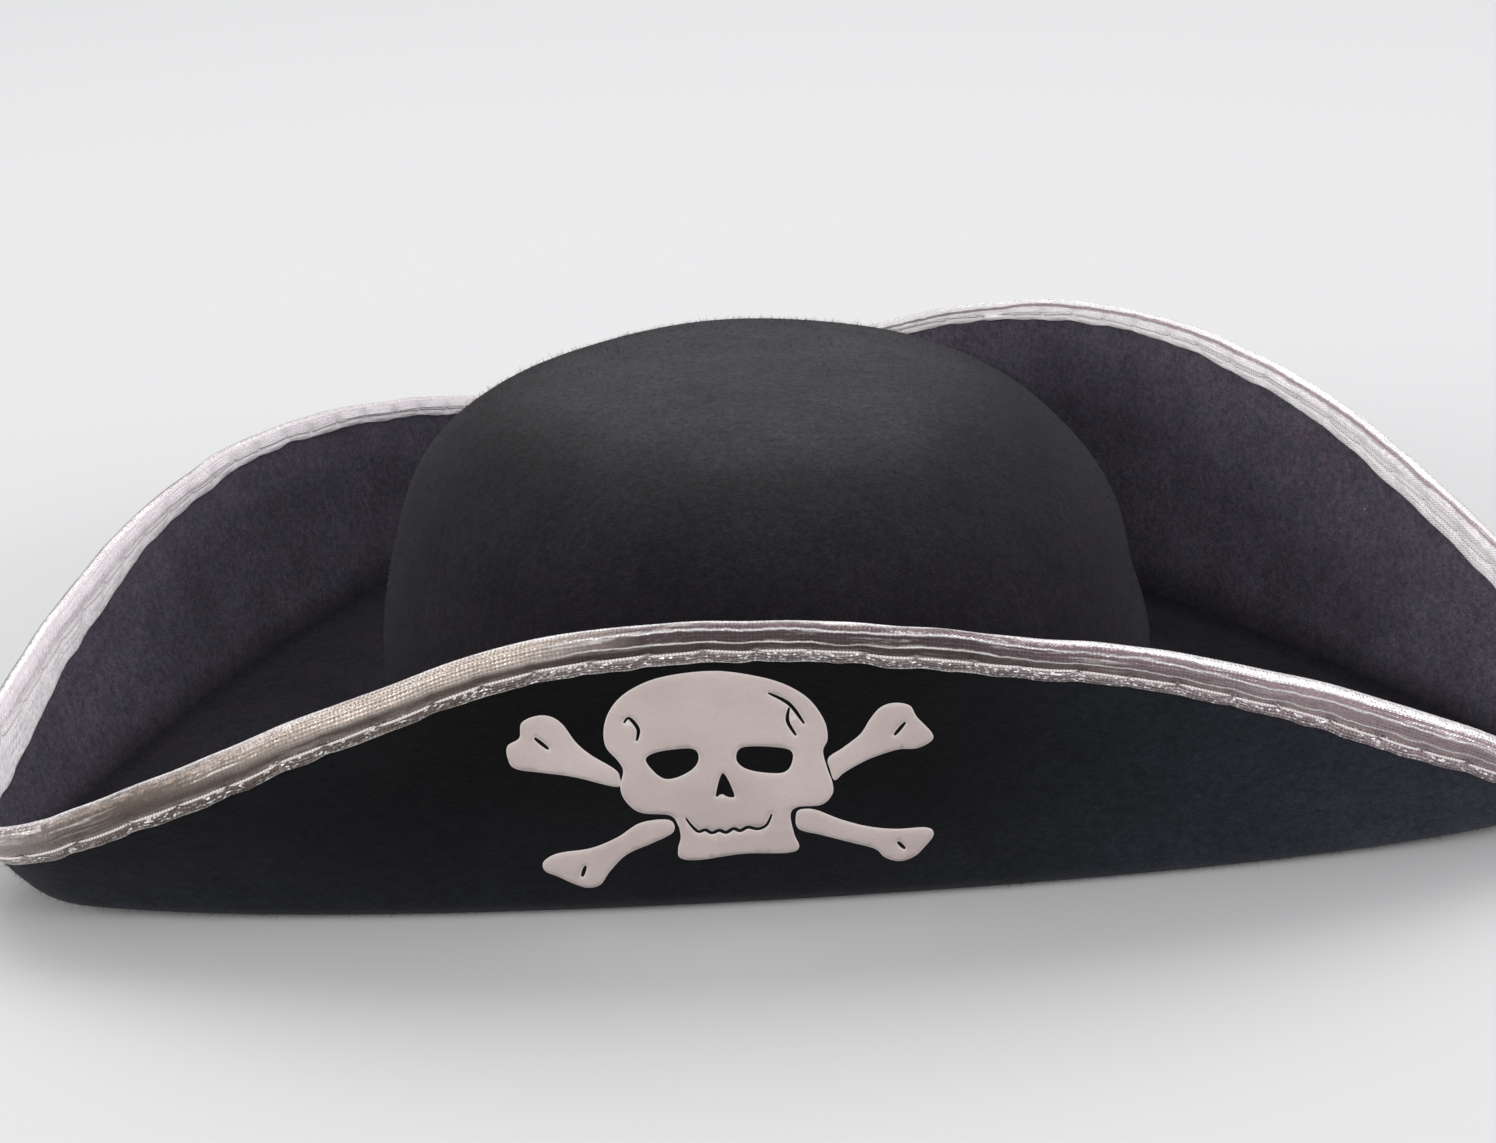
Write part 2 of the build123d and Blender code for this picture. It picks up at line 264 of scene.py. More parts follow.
def with_height(xy, z):
    """Points in space from their places seen from above and their heights."""
    return np.concatenate((xy, z[..., None]), -1)


def unit(vectors):
    """The same directions, one long."""
    return vectors / np.linalg.norm(vectors, axis=1)[:, None]


def flap_point(run, up, inward):
    """A point on the turned-up cloth: round the ring, up the cloth, and inwards from its outer face."""
    run, up, inward = np.broadcast_arrays(*(np.asarray(a, float) for a in (run, up, inward)))
    lean, out, rise = at_ring(LEAN, run), at_ring(OUT, run), at_ring(RISE, run)
    share = np.clip(up / np.maximum(rise, 1), 0, 1.2)
    sway = at_ring(SWAY, run) * share**1.5 * np.clip(rise / 40, 0, 1) + at_ring(SHAKE, run) * share
    sway = sway + 0.35 * np.sin(up / 9.0 + at_ring(SWAY, run) * 3) * np.clip(up / 12, 0, 1)
    away = HINGE_Z * SPREAD + up * np.sin(lean) - (inward - sway) * np.cos(lean)
    z = HINGE_Z + up * np.cos(lean) + (inward - sway) * np.sin(lean) + at_ring(LIFTS, run)
    return with_height(at_ring(RING, run) + out * away[..., None], z)


# ---- the felt
def felt_rows():
    """Rows of points from under the crown, out and over the cloth's edge, and back up the crown."""
    tan_half = np.tan((pi / 2 - LEAN) / 2)
    corner = HINGE_Z * SPREAD - HINGE_Z * np.tan(LEAN)
    start = corner - FOLD_RADIUS * tan_half
    up_start = FOLD_RADIUS * tan_half - HINGE_Z / np.cos(LEAN)

    fold_xy = RING + OUT * start[:, None]
    toward = fold_xy - CROWN_CENTRE
    turn = np.arctan2(toward[:, 1] / CROWN_HALF[1], toward[:, 0] / CROWN_HALF[0])
    shape = np.stack((np.cos(turn), np.sin(turn)), 1)
    radial = unit(shape * CROWN_HALF)

    def foot(thick):
        """The fillet's radius, a little less on the felt's lower face."""
        return FILLET - thick * 0.4

    def crown_row(phi, thick):
        """One row of the dome, with the fillet at its foot."""
        power = 2 / CROWN_FULLNESS
        half = CROWN_HALF - thick
        c, s = cos(phi) ** power if phi < pi / 2 - 1e-6 else 0.0, sin(phi) ** power
        z = FELT + (CROWN_HEIGHT - thick - FELT) * s
        flare = foot(thick)
        rise = z - (FELT - thick)
        bell = flare - np.sqrt(max(flare**2 - (flare - rise) ** 2, 0)) if rise < flare else 0.0
        xy = CROWN_CENTRE + shape * half * c + radial * bell
        row = with_height(xy, np.full(STATIONS, z))
        # The worn crown is fuller at its upper left, leans to the left and draws in on its right
        full = np.linalg.norm(row - np.array((*(CROWN_CENTRE + (-56, -10)), 70.0)), axis=1)
        row = row + 2.6 * hump(full, 0, 32)[:, None] * np.array((-0.6, 0, 0.6))
        row[:, 0] += 1.4 * ease(z, 14, 48) - 2.9 * ease(z, 44, 80)
        on_right = np.clip((row[:, 0] - CROWN_CENTRE[0]) / 60, 0, 1)
        row[:, 0] += on_right * (1.7 * ease(z, 3, 12) - 4.3 * ease(z, 16, 38) + 2.6 * ease(z, 62, 78))
        return row + dents(row) * (0.35 + 0.65 * s)

    def ledge_row(share, thick):
        inner = CROWN_CENTRE + shape * (CROWN_HALF - thick) + radial * foot(thick)
        xy = inner * (1 - share) + fold_xy * share
        return with_height(xy, FELT - thick + LIFTS * ease(share, 0, 1))

    def fold_row(share, thick):
        a = (pi / 2 - LEAN) * share
        r = FOLD_RADIUS - FELT + thick
        away = start + r * np.sin(a)
        return with_height(RING + OUT * away[:, None], FOLD_RADIUS - r * np.cos(a) + LIFTS)

    def flap_row(share, inward):
        return flap_point(RUN, up_start + (RISE - up_start) * share, inward)

    phis = [pi / 2 * (k / CROWN_ROWS) ** 1.25 for k in range(1, CROWN_ROWS)]
    ledge = np.arange(LEDGE_ROWS) / (LEDGE_ROWS - 1)
    fold = np.arange(1, FOLD_ROWS + 1) / FOLD_ROWS
    cloth = np.arange(1, FLAP_ROWS + 1) / FLAP_ROWS
    stretches = (
        ("crown", [crown_row(phi, FELT) for phi in reversed(phis)]),
        ("brim", [ledge_row(share, FELT) for share in ledge]),
        ("brim", [fold_row(share, FELT) for share in fold]),
        ("flap", [flap_row(share, 0.0) for share in cloth]),
        ("flap", [flap_row(1.0, FELT / 2) + (0, 0, 0.5)]),
        ("flap", [flap_row(share, FELT) for share in cloth[::-1]]),
        ("brim", [fold_row(share, 0.0) for share in fold[::-1]]),
        ("brim", [ledge_row(share, 0.0) for share in ledge[::-1]]),
        ("crown", [crown_row(phi, 0.0) for phi in phis]),
    )
    rows = np.array([row for _, found in stretches for row in found])
    return rows, [kind for kind, found in stretches for _ in found]


def dents(points):
    """Slight unevenness of pressed felt, as an offset in millimetres."""
    x, y, z = points[:, 0], points[:, 1], points[:, 2]
    push = 0.45 * np.sin(x / 21 + 1.1 * np.sin(y / 31)) * np.cos(y / 26 + 0.8 * np.sin(z / 19))
    push += 0.22 * np.sin(x / 9 + z / 13) * np.sin(y / 11 - z / 17)
    outward = points - np.array((*CROWN_CENTRE, 20.0))
    return push[:, None] * outward / np.linalg.norm(outward, axis=1)[:, None]


def mesh_from(name, points, faces, normals=None, uvs=None, material=None):
    """A mesh object from points in millimetres."""
    mesh = bpy.data.meshes.new(name)
    faces = faces.tolist() if isinstance(faces, np.ndarray) else faces
    mesh.from_pydata((np.asarray(points) / 1000).tolist(), [], faces)
    if uvs is not None:
        layer = mesh.uv_layers.new(name="cloth")
        index = np.zeros(len(mesh.loops), np.int32)
        mesh.loops.foreach_get("vertex_index", index)
        layer.data.foreach_set("uv", np.asarray(uvs, np.float32)[index].ravel())
    mesh.polygons.foreach_set("use_smooth", [True] * len(mesh.polygons))
    if normals is not None:
        mesh.normals_split_custom_set_from_vertices(normals.tolist())
    mesh.update()
    made = bpy.data.objects.new(name, mesh)
    bpy.context.scene.collection.objects.link(made)
    if material:
        mesh.materials.append(material)
    return made


def point_normals(points, faces):
    """Smooth normals of a whole mesh, so that pieces cut from it still shade as one."""
    a, b, c, d = (points[faces[:, k]] for k in range(4))
    face = np.cross(c - a, d - b)
    found = np.zeros_like(points)
    for k in range(4):
        np.add.at(found, faces[:, k], face)
    return found / np.maximum(np.linalg.norm(found, axis=1), 1e-9)[:, None]


def cut_out(name, points, normals, faces, chosen, material, uvs=None, ends=()):
    """The chosen faces of a whole mesh as a piece of their own, with its ends closed."""
    used, back = np.unique(faces[chosen].ravel(), return_inverse=True)
    local = [tuple(f) for f in back.reshape(-1, 4).tolist()]
    local += [tuple(np.searchsorted(used, end).tolist()) for end in ends]
    return mesh_from(name, points[used], local, normals[used],
                     None if uvs is None else uvs[used], material)


# A quad's corners in the order that makes it face the other way
TURNED_OVER = [0, 3, 2, 1]


def ring_faces(rows, closed=False, around=STATIONS):
    """Quads of a grid of rows by points round a ring, wrapping round it."""
    r, i = np.meshgrid(np.arange(rows if closed else rows - 1), np.arange(around), indexing="ij")
    up, right = (r + 1) % rows * around, (i + 1) % around
    return np.stack((r * around + i, r * around + right, up + right, up + i), -1).reshape(-1, 4)


# Which side's piece each station goes into; 3 stands for the points, which go with the hat's body
FLEX = 0.93
STILL = 3
WHERE = np.where(np.abs(U_AT) < FLEX, SIDE_AT, STILL)


# ---- materials
class Nodes:
    """Short-hand for building a material's node tree."""

    def __init__(self, name):
        self.material = bpy.data.materials.new(name)
        self.material.use_nodes = True
        self.tree = self.material.node_tree
        self.tree.nodes.clear()
        self.out = self.tree.nodes.new("ShaderNodeOutputMaterial")
        self.shader = self.tree.nodes.new("ShaderNodeBsdfPrincipled")
        self.tree.links.new(self.shader.outputs[0], self.out.inputs[0])

    def node(self, kind, inputs=None, **settings):
        made = self.tree.nodes.new("ShaderNode" + kind)
        for key, value in settings.items():
            setattr(made, key, value)
        for key, value in (inputs or {}).items():
            self.put(made.inputs[key], value)
        return made

    def put(self, socket, value):
        if isinstance(value, bpy.types.NodeSocket):
            self.tree.links.new(value, socket)
        else:
            socket.default_value = value

    def set(self, **values):
        for key, value in values.items():
            self.put(self.shader.inputs[key.replace("_", " ")], value)

    def math(self, operation, a, b=0.0):
        return self.node("Math", {0: a, 1: b}, operation=operation).outputs[0]

    def times(self, first, *others):
        for other in others:
            first = self.math("MULTIPLY", first, other)
        return first

    def plus(self, first, *others):
        for other in others:
            first = self.math("ADD", first, other)
        return first

    def about_zero(self, value, size):
        """A 0 to 1 noise moved to lie about zero, and scaled."""
        return self.times(self.math("SUBTRACT", value, 0.5), size)

    def wave(self, value, length):
        """A sine that repeats over the given length."""
        return self.math("SINE", self.times(value, 2 * pi / length))

    def axes(self, vector):
        return self.node("SeparateXYZ", {0: vector}).outputs

    def vector(self, operation, a, b):
        second = "Scale" if operation == "SCALE" else 1
        return self.node("VectorMath", {0: a, second: b}, operation=operation).outputs[0]

    def place(self):
        """Where a point lies on its own object, in metres."""
        return self.node("TexCoord").outputs["Object"]

    def cloth(self):
        """Where a point lies on the flat cloth, in millimetres."""
        return self.node("UVMap", uv_map="cloth").outputs[0]

    def stored(self, name):
        return self.node("Attribute", attribute_name=name).outputs["Fac"]

    def noise(self, vector, scale, detail=3.0, rough=0.55, distortion=0.0):
        return self.node("TexNoise", {"Vector": vector, "Scale": scale, "Detail": detail,
                                      "Roughness": rough, "Distortion": distortion}).outputs[0]

    def span(self, value, low, high, to_low=0.0, to_high=1.0):
        return self.node("MapRange", {0: value, 1: low, 2: high, 3: to_low, 4: to_high}).outputs[0]

    def mix(self, factor, a, b, blend="MIX"):
        made = self.node("Mix", data_type="RGBA", blend_type=blend)
        for socket, value in ((0, factor), (6, a), (7, b)):
            self.put(made.inputs[socket], value)
        return made.outputs[2]

    def mapped(self, vector, scale=(1, 1, 1), turn=(0, 0, 0), shift=(0, 0, 0)):
        return self.node("Mapping", {"Vector": vector, "Scale": scale, "Rotation": turn,
                                     "Location": shift}).outputs[0]

    def bump(self, height, strength, distance, normal=None):
        inputs = {"Height": height, "Strength": strength, "Distance": distance}
        if normal is not None:
            inputs["Normal"] = normal
        return self.node("Bump", inputs).outputs[0]


# Width of the ribbon's painted reflection bands and pitch of its knurling, in millimetres
RAMP_WIDTH = 21.0
KNURL = 1.7


def felt_material():
    """Black wool felt: matted hairs, patchy tone and rare specks of lint, with painted light and shade."""
    n = Nodes("black_felt")
    place = n.place()
    warp = n.node("TexNoise", {"Vector": place, "Scale": 260.0, "Detail": 2.0}).outputs["Color"]
    bent = n.vector("ADD", place, n.vector("MULTIPLY", warp, (0.004, 0.004, 0.004)))
    hairs = None
    for turn, seed in (((0.3, 0.5, 0.2), 0.0), ((1.1, 0.2, 1.3), 3.0), ((0.1, 1.4, 2.2), 7.0)):
        strands = n.noise(n.mapped(bent, (700, 3600, 3600), turn, (seed, seed, seed)), 1.0, 2.0)
        strands = n.span(strands, 0.5, 0.74)
        hairs = strands if hairs is None else n.math("MAXIMUM", hairs, strands)
    fine = n.noise(place, 1900.0, 4.0, 0.65)
    tone = n.plus(n.times(hairs, 0.3), n.times(fine, 0.7))
    for size, detail, rough, low, high, darkest, lightest in (
            (70.0, 5.0, 0.62, 0.3, 0.7, 0.78, 1.2),
            (16.0, 3.0, 0.55, 0.3, 0.7, 0.85, 1.15),
            (620.0, 3.0, 0.7, 0.36, 0.64, 0.74, 1.26)):
        tone = n.times(tone, n.span(n.noise(place, size, detail, rough), low, high, darkest, lightest))
    chroma = n.noise(place, 240.0, 3.0, 0.6)
    tint = n.mix(n.span(chroma, 0.35, 0.65), (0.0275, 0.0262, 0.034, 1), (0.0325, 0.0258, 0.0335, 1))
    # Painted light: a greyer cast on the up-facing top of the crown, and a bluer painted reflection on faces
    # that turn downwards, under the folds and on the outside of the leaning sides, which the floor lights
    facing = n.axes(n.node("NewGeometry").outputs["Normal"])[2]
    painted_top_cast = n.times(n.span(facing, 0.1, 0.7), n.span(n.axes(place)[2], 0.052, 0.08))
    tint = n.mix(painted_top_cast, tint, (0.0275, 0.0276, 0.0288, 1))
    tint = n.mix(n.span(facing, -0.02, -0.2), tint, (0.0215, 0.0262, 0.036, 1))
    colour = n.mix(tone, (0.0013, 0.0012, 0.0017, 1), tint)
    # Painted light and shade: the colour is scaled by a value stored at each point
    colour = n.vector("SCALE", colour, n.stored("painted_shading"))
    specks = n.node("TexVoronoi", {"Vector": place, "Scale": 85.0, "Randomness": 1.0})
    rare = n.node("SeparateColor", {0: specks.outputs["Color"]}).outputs[0]
    lint = n.times(n.span(specks.outputs["Distance"], 0.030, 0.018), n.span(rare, 0.93, 0.94))
    colour = n.mix(lint, colour, (0.32, 0.31, 0.3, 1))
    height = n.plus(n.times(hairs, 0.45), fine, n.times(n.noise(place, 420.0, 3.0), 1.3))
    n.set(Base_Color=colour, Roughness=0.95, Specular_IOR_Level=0.06,
          Normal=n.bump(height, 0.5, 0.0003),
          Sheen_Weight=0.11, Sheen_Roughness=0.5, Sheen_Tint=(0.6, 0.592, 0.612, 1))
    return n.material


def ribbon_material():
    """Foil ribbon: bands of light and dark along it, partly painted reflections, with painted glints and
    shade, a knurled hem and fine slanting threads.
    """
    n = Nodes("silver_ribbon")
    uv = n.cloth()
    u, v = n.axes(uv)[:2]
    side = n.axes(n.place())[0]

    def cloth_noise(scale, detail, rough=0.55, shift=(0, 0, 0)):
        return n.noise(n.mapped(uv, scale, (0, 0, 0), shift), 1.0, detail, rough)

    # Distance across the ribbon, wandering a little so that the painted reflection bands aren't ruled lines,
    # and moved on the right so that the painted highlight along the top reaches lower there
    shifted = n.plus(v, n.about_zero(cloth_noise((0.035, 0.0, 1), 2.0), 3.0),
                     n.about_zero(cloth_noise((0.35, 0.3, 1), 3.0), 0.9),
                     n.span(side, 0.03, 0.1, 0.0, 2.1))

    def bands(stops):
        ramp = n.node("ValToRGB", {0: n.math("DIVIDE", shifted, RAMP_WIDTH)})
        elements = ramp.color_ramp.elements
        while len(elements) < len(stops):
            elements.new(0.5)
        for element, (at, *colour) in zip(elements, stops):
            element.position, element.color = at / RAMP_WIDTH, (*colour, 1)
        return ramp.outputs[0]

    # Silver with painted reflections for the middle and right: dark reflected bands and bright glint lines
    # over the outer face, and a pale painted highlight over the top and inner face
    middle_reflection_bands = bands((
        (0.0, 0.75, 0.71, 0.70), (0.6, 0.24, 0.2, 0.198), (2.7, 0.26, 0.22, 0.22), (3.3, 0.5, 0.45, 0.45),
        (3.9, 0.09, 0.065, 0.065), (6.4, 0.085, 0.06, 0.06), (6.8, 0.95, 0.92, 0.91),
        (7.2, 0.085, 0.062, 0.065), (9.5, 0.09, 0.066, 0.07), (9.9, 0.95, 0.92, 0.92),
        (10.3, 0.16, 0.12, 0.125), (11.3, 0.2, 0.155, 0.16), (12.0, 0.96, 0.93, 0.93),
        (13.6, 0.93, 0.90, 0.905), (15.0, 0.9, 0.87, 0.88), (15.5, 0.22, 0.175, 0.19),
        (16.1, 0.28, 0.23, 0.24), (16.7, 0.9, 0.86, 0.88), (21.0, 0.95, 0.92, 0.93)))
    # Silver with painted reflections for the left: darker brown bands on the outer face, and a pale painted
    # highlight from the top over the inner face with a brighter glint line
    left_reflection_bands = bands((
        (0.0, 0.7, 0.63, 0.57), (0.6, 0.21, 0.17, 0.148), (2.6, 0.19, 0.152, 0.13), (3.3, 0.33, 0.28, 0.245),
        (4.6, 0.14, 0.11, 0.093), (8.6, 0.17, 0.137, 0.116), (10.8, 0.24, 0.2, 0.176),
        (12.0, 0.88, 0.83, 0.82), (13.6, 0.95, 0.88, 0.91), (15.6, 0.93, 0.86, 0.895),
        (16.8, 0.99, 0.97, 0.98), (17.8, 0.96, 0.91, 0.935), (21.0, 0.98, 0.96, 0.97)))
    which = n.plus(side, n.about_zero(cloth_noise((0.03, 0.06, 1), 2.0), 0.12))
    silver = n.mix(n.span(which, -0.075, -0.045), left_reflection_bands, middle_reflection_bands)
    knurl = n.times(n.wave(n.plus(u, v), KNURL), n.wave(n.math("SUBTRACT", u, v), KNURL))
    ribs = n.wave(n.math("SUBTRACT", n.times(v, 1.6), u), 0.75)
    on_hem = n.span(v, 3.6, 2.9)
    patchy = n.span(cloth_noise((0.06, 0.2, 1), 2.0), 0.42, 0.6)
    # A stretch on the left where the upper half catches the light
    lit = n.times(n.times(n.span(side, -0.135, -0.1), n.span(side, -0.035, -0.06)),
                  n.times(n.span(shifted, 5.6, 7.0), n.span(shifted, 12.4, 11.4)))
    showing = n.math("MAXIMUM", n.math("MAXIMUM", on_hem, lit), n.times(patchy, 0.7))
    # Painted highlights and reflections: the lit stretch on the left, a mauve painted reflection on the
    # right and a pale painted highlight at the far left
    for amount, colour in ((n.times(lit, 0.85), (0.72, 0.625, 0.55, 1)),
                           (n.span(side, 0.03, 0.1, 0.0, 0.85), (0.42, 0.325, 0.345, 1)),
                           (n.span(side, -0.15, -0.175, 0.0, 0.7), (0.5, 0.45, 0.44, 1))):
        silver = n.mix(amount, silver, colour, "LIGHTEN")
    facets = n.node("TexVoronoi", {"Vector": n.mapped(uv, (1.5, 2.6, 1)), "Scale": 1.0}).outputs["Color"]
    lean = n.vector("SCALE", n.vector("SUBTRACT", facets, (0.5, 0.5, 0.5)), 0.30)
    tilted = n.vector("ADD", n.node("NewGeometry").outputs["Normal"], lean)
    tilted = n.node("VectorMath", {0: tilted}, operation="NORMALIZE").outputs[0]
    crumple = n.times(cloth_noise((0.4, 0.22, 1), 3.0, 0.6), 2.2)
    height = n.plus(n.times(knurl, showing, 0.8), n.times(ribs, 0.22), crumple)
    glint = n.node("SeparateColor", {0: facets}).outputs[1]
    on_front = n.span(v, 14.0, 12.5)
    # Painted shade in the knurl's pits
    pit_shade = n.times(n.times(n.span(knurl, 0.1, -0.9), n.times(showing, 0.7)), on_front)
    silver = n.mix(pit_shade, silver, n.mix(1.0, silver, (0.3, 0.27, 0.27, 1), "MULTIPLY"))
    # Painted shade in the grooves between the slanting threads
    groove_shade = n.times(n.span(ribs, -0.2, -1.0, 0.0, 0.4), on_front)
    silver = n.mix(groove_shade, silver, n.mix(1.0, silver, (0.5, 0.46, 0.45, 1), "MULTIPLY"))
    # Painted glints: single facets turned near-white on the hem and the inner face
    painted_sparkle = n.times(n.span(glint, 0.8, 0.9), n.math("MAXIMUM", on_hem, n.span(v, 16.0, 16.5)))
    silver = n.mix(painted_sparkle, silver, (0.98, 0.96, 0.96, 1))
    # Painted highlights: pale streaks over the outer face, stronger towards its top
    highlight_streaks = n.span(cloth_noise((0.05, 0.55, 1), 4.0, 0.65, (9.0, 4.0, 0)), 0.55, 0.66)
    highlight_streaks = n.times(highlight_streaks, n.times(n.span(v, 6.0, 8.0, 0.2, 0.62), on_front))
    silver = n.mix(highlight_streaks, silver, (0.9, 0.87, 0.85, 1))
    n.set(Base_Color=silver, Metallic=n.span(v, 10.5, 13.5, 0.8, 0.05),
          Roughness=n.span(glint, 0.0, 1.0, 0.34, 0.2),
          Normal=n.bump(height, 0.5, 0.00026, tilted), Specular_IOR_Level=0.5)
    return n.material


def thread_material():
    """Twisted metallic thread."""
    n = Nodes("silver_thread")
    u, v = n.axes(n.cloth())[:2]
    twist = n.math("SINE", n.plus(n.times(u, 2 * pi / 0.7), n.times(v, 2 * pi)))
    tone = n.mix(n.span(twist, -1, 1), (0.5, 0.46, 0.45, 1), (0.93, 0.88, 0.87, 1))
    n.set(Base_Color=tone, Roughness=0.4, Sheen_Weight=0.3,
          Normal=n.bump(twist, 0.6, 0.0001))
    return n.material


def print_material():
    """Pale heat-pressed film with the felt's grain showing through."""
    n = Nodes("transfer_film")
    place = n.place()
    blotch = n.noise(place, 45.0, 4.0, 0.6)
    grain = n.noise(place, 1400.0, 3.0, 0.6)
    weave = n.noise(place, 420.0, 3.0, 0.6)
    colour = n.mix(n.span(blotch, 0.3, 0.7), (0.428, 0.36, 0.343, 1), (0.518, 0.445, 0.424, 1))
    colour = n.mix(n.times(n.span(grain, 0.35, 0.7), 0.22), colour, (0.38, 0.32, 0.305, 1))
    colour = n.mix(n.span(n.stored("inset"), 0.45, 0.1, 0.0, 0.5), colour, (0.7, 0.65, 0.63, 1))
    n.set(Base_Color=colour, Roughness=n.span(blotch, 0.3, 0.7, 0.62, 0.5), Specular_IOR_Level=0.35,
          Normal=n.bump(n.plus(weave, n.times(grain, 0.4)), 0.45, 0.0003))
    return n.material


def lining_material(name, dark, light, rib):
    """Ribbed ribbon or woven tape, by its own cloth coordinates."""
    n = Nodes(name)
    uv = n.cloth()
    u, v = n.axes(uv)[:2]
    height = n.plus(n.times(n.wave(u, rib), 0.8), n.times(n.wave(v, rib * 0.5), 0.2))
    worn = n.noise(uv, 0.06, 4.0, 0.6)
    tone = n.times(n.span(height, -1, 1), n.span(worn, 0.3, 0.7, 0.6, 1.1))
    n.set(Base_Color=n.mix(tone, dark, light), Roughness=0.72, Sheen_Weight=0.25, Sheen_Roughness=0.4,
          Specular_IOR_Level=0.3, Normal=n.bump(height, 0.7, 0.0002))
    return n.material


FELT_LOOK = felt_material()
RIBBON_LOOK = ribbon_material()
THREAD_LOOK = thread_material()
PRINT_LOOK = print_material()
LINING_LOOK = lining_material("lining_ribbon", (0.006, 0.006, 0.007, 1), (0.035, 0.034, 0.037, 1), 1.1)
LABEL_LOOK = lining_material("label_cloth", (0.5, 0.49, 0.46, 1), (0.85, 0.84, 0.8, 1), 0.45)
DARK_THREAD_LOOK = lining_material("black_thread", (0.01, 0.01, 0.01, 1), (0.06, 0.06, 0.06, 1), 0.5)

# ---- build the felt
# Each side's edge height at its middle, in metres; nothing reads it
for side in SIDES:
    top = float(HINGE_Z + side.rise(np.array(0.0)) * cos(radians(side.lean))) / 1000


def settle(piece, place, nodes=()):
    """Bakes a side's piece where it lies, or has a piece move with the hat's body, and hides the CAD nodes
    it stands for.
    """
    if place < STILL:
        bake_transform(piece)
    else:
        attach(piece, "hat_body")
    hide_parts(*nodes)
    return piece


rows, kinds = felt_rows()
count = len(rows)
half_way = count // 2
felt_points = rows.reshape(-1, 3)
felt_faces = ring_faces(count)
normals = point_normals(felt_points, felt_faces)
row_of = felt_faces[:, 0] // STATIONS
column = felt_faces[:, 0] % STATIONS
is_flap = np.array([k == "flap" for k in kinds])
in_flap = is_flap[row_of] & is_flap[np.minimum(row_of + 1, count - 1)]
# The rows of cloth next to the fold stay with the brim, so that the cut lies on straight cloth
first_flap, last_flap = np.flatnonzero(is_flap)[[0, -1]]
in_flap &= (row_of >= first_flap + 1) & (row_of < last_flap - 1)
where = WHERE[column]

# Painted light and shade, as a scale on the felt's colour: much lighter on the inside of the sides, lighter
# towards the crown's top, darker on the fold's underside and darkest up the outside of the sides
FLAP_SHADE_ROWS = 14
heights = np.clip(rows[:, :, 2].mean(1) / CROWN_HEIGHT, 0, 1)
painted_shading_row = np.ones(count)
for r, kind in enumerate(kinds):
    outer = r < half_way
    if kind == "crown":
        painted_shading_row[r] = 0.84 + min(4.2 * heights[r] ** 34, 2.1)
    elif kind == "brim":
        painted_shading_row[r] = 0.62 if outer else 1.1
    elif outer:
        painted_shading_row[r] = 0.5 - 0.46 * min((r - first_flap) / FLAP_SHADE_ROWS, 1.0) ** 0.6
    else:
        painted_shading_row[r] = 5.9
painted_shading_row = np.convolve(np.concatenate((painted_shading_row[:2], painted_shading_row, painted_shading_row[-2:])), np.full(5, 1 / 5), "valid")
# Painted light: the outside is painted lighter towards the points, more towards each side's end than its
# start
lighter_at_points = 0.55 * np.clip((-U_AT - 0.35) / 0.6, 0, 1) + 1.75 * np.clip((U_AT - 0.1) / 0.7, 0, 1)
painted_shading = (painted_shading_row[:, None] + np.where((np.arange(count) < half_way)[:, None], lighter_at_points, 0.0)).ravel()


def give(piece, name, values):
    """Stores one number at each point of a piece for its material to read."""
    attribute = piece.data.attributes.new(name, "FLOAT", "POINT")
    attribute.data.foreach_set("value", np.asarray(values, np.float32))
    return piece


def felt_piece(name, place, chosen, nodes):
    """The chosen faces of the felt, with their painted light and shade."""
    piece = cut_out(name, felt_points, normals, felt_faces, chosen, FELT_LOOK)
    give(piece, "painted_shading", painted_shading[np.unique(felt_faces[chosen])])
    settle(piece, place, nodes)


NAMES = ("front", "right", "left")
on_side = [in_flap & (where == k) for k in range(3)]
on_body = ~(in_flap & (where < STILL))
for k, name in enumerate(NAMES):
    felt_piece(f"{name}_flap_felt", k, on_side[k], (f"{name}_flap",))
felt_piece("crown_and_brim_felt", STILL, on_body,
           ("crown", "brim", "right_point", "left_point", "back_point"))
CAP_POINTS = 120


def cap(name, row, turn, lightness):
    """Closes the dome's small opening at its top, facing up when turn is 1 and down when it's -1."""
    ring_points = row[:: STATIONS // CAP_POINTS]
    centre = ring_points.mean(0)
    centre[2] = row[:, 2].max()
    points = np.concatenate((ring_points, centre[None]))
    faces = [(i, (i + 1) % CAP_POINTS, CAP_POINTS)[::turn] for i in range(CAP_POINTS)]
    piece = mesh_from(name, points, faces, material=FELT_LOOK)
    give(piece, "painted_shading", np.full(len(points), lightness))
    settle(piece, STILL)


cap("crown_tip_felt", rows[-1], 1, painted_shading_row[-1])
cap("crown_tip_inside_felt", rows[0], -1, painted_shading_row[0])

# Half the width of a fibre, and how far the fibres stay from the edge and from the print's middle
HAIR = 0.045
CLEAR_OF_EDGE = 13.0
CLEAR_OF_PRINT = 50


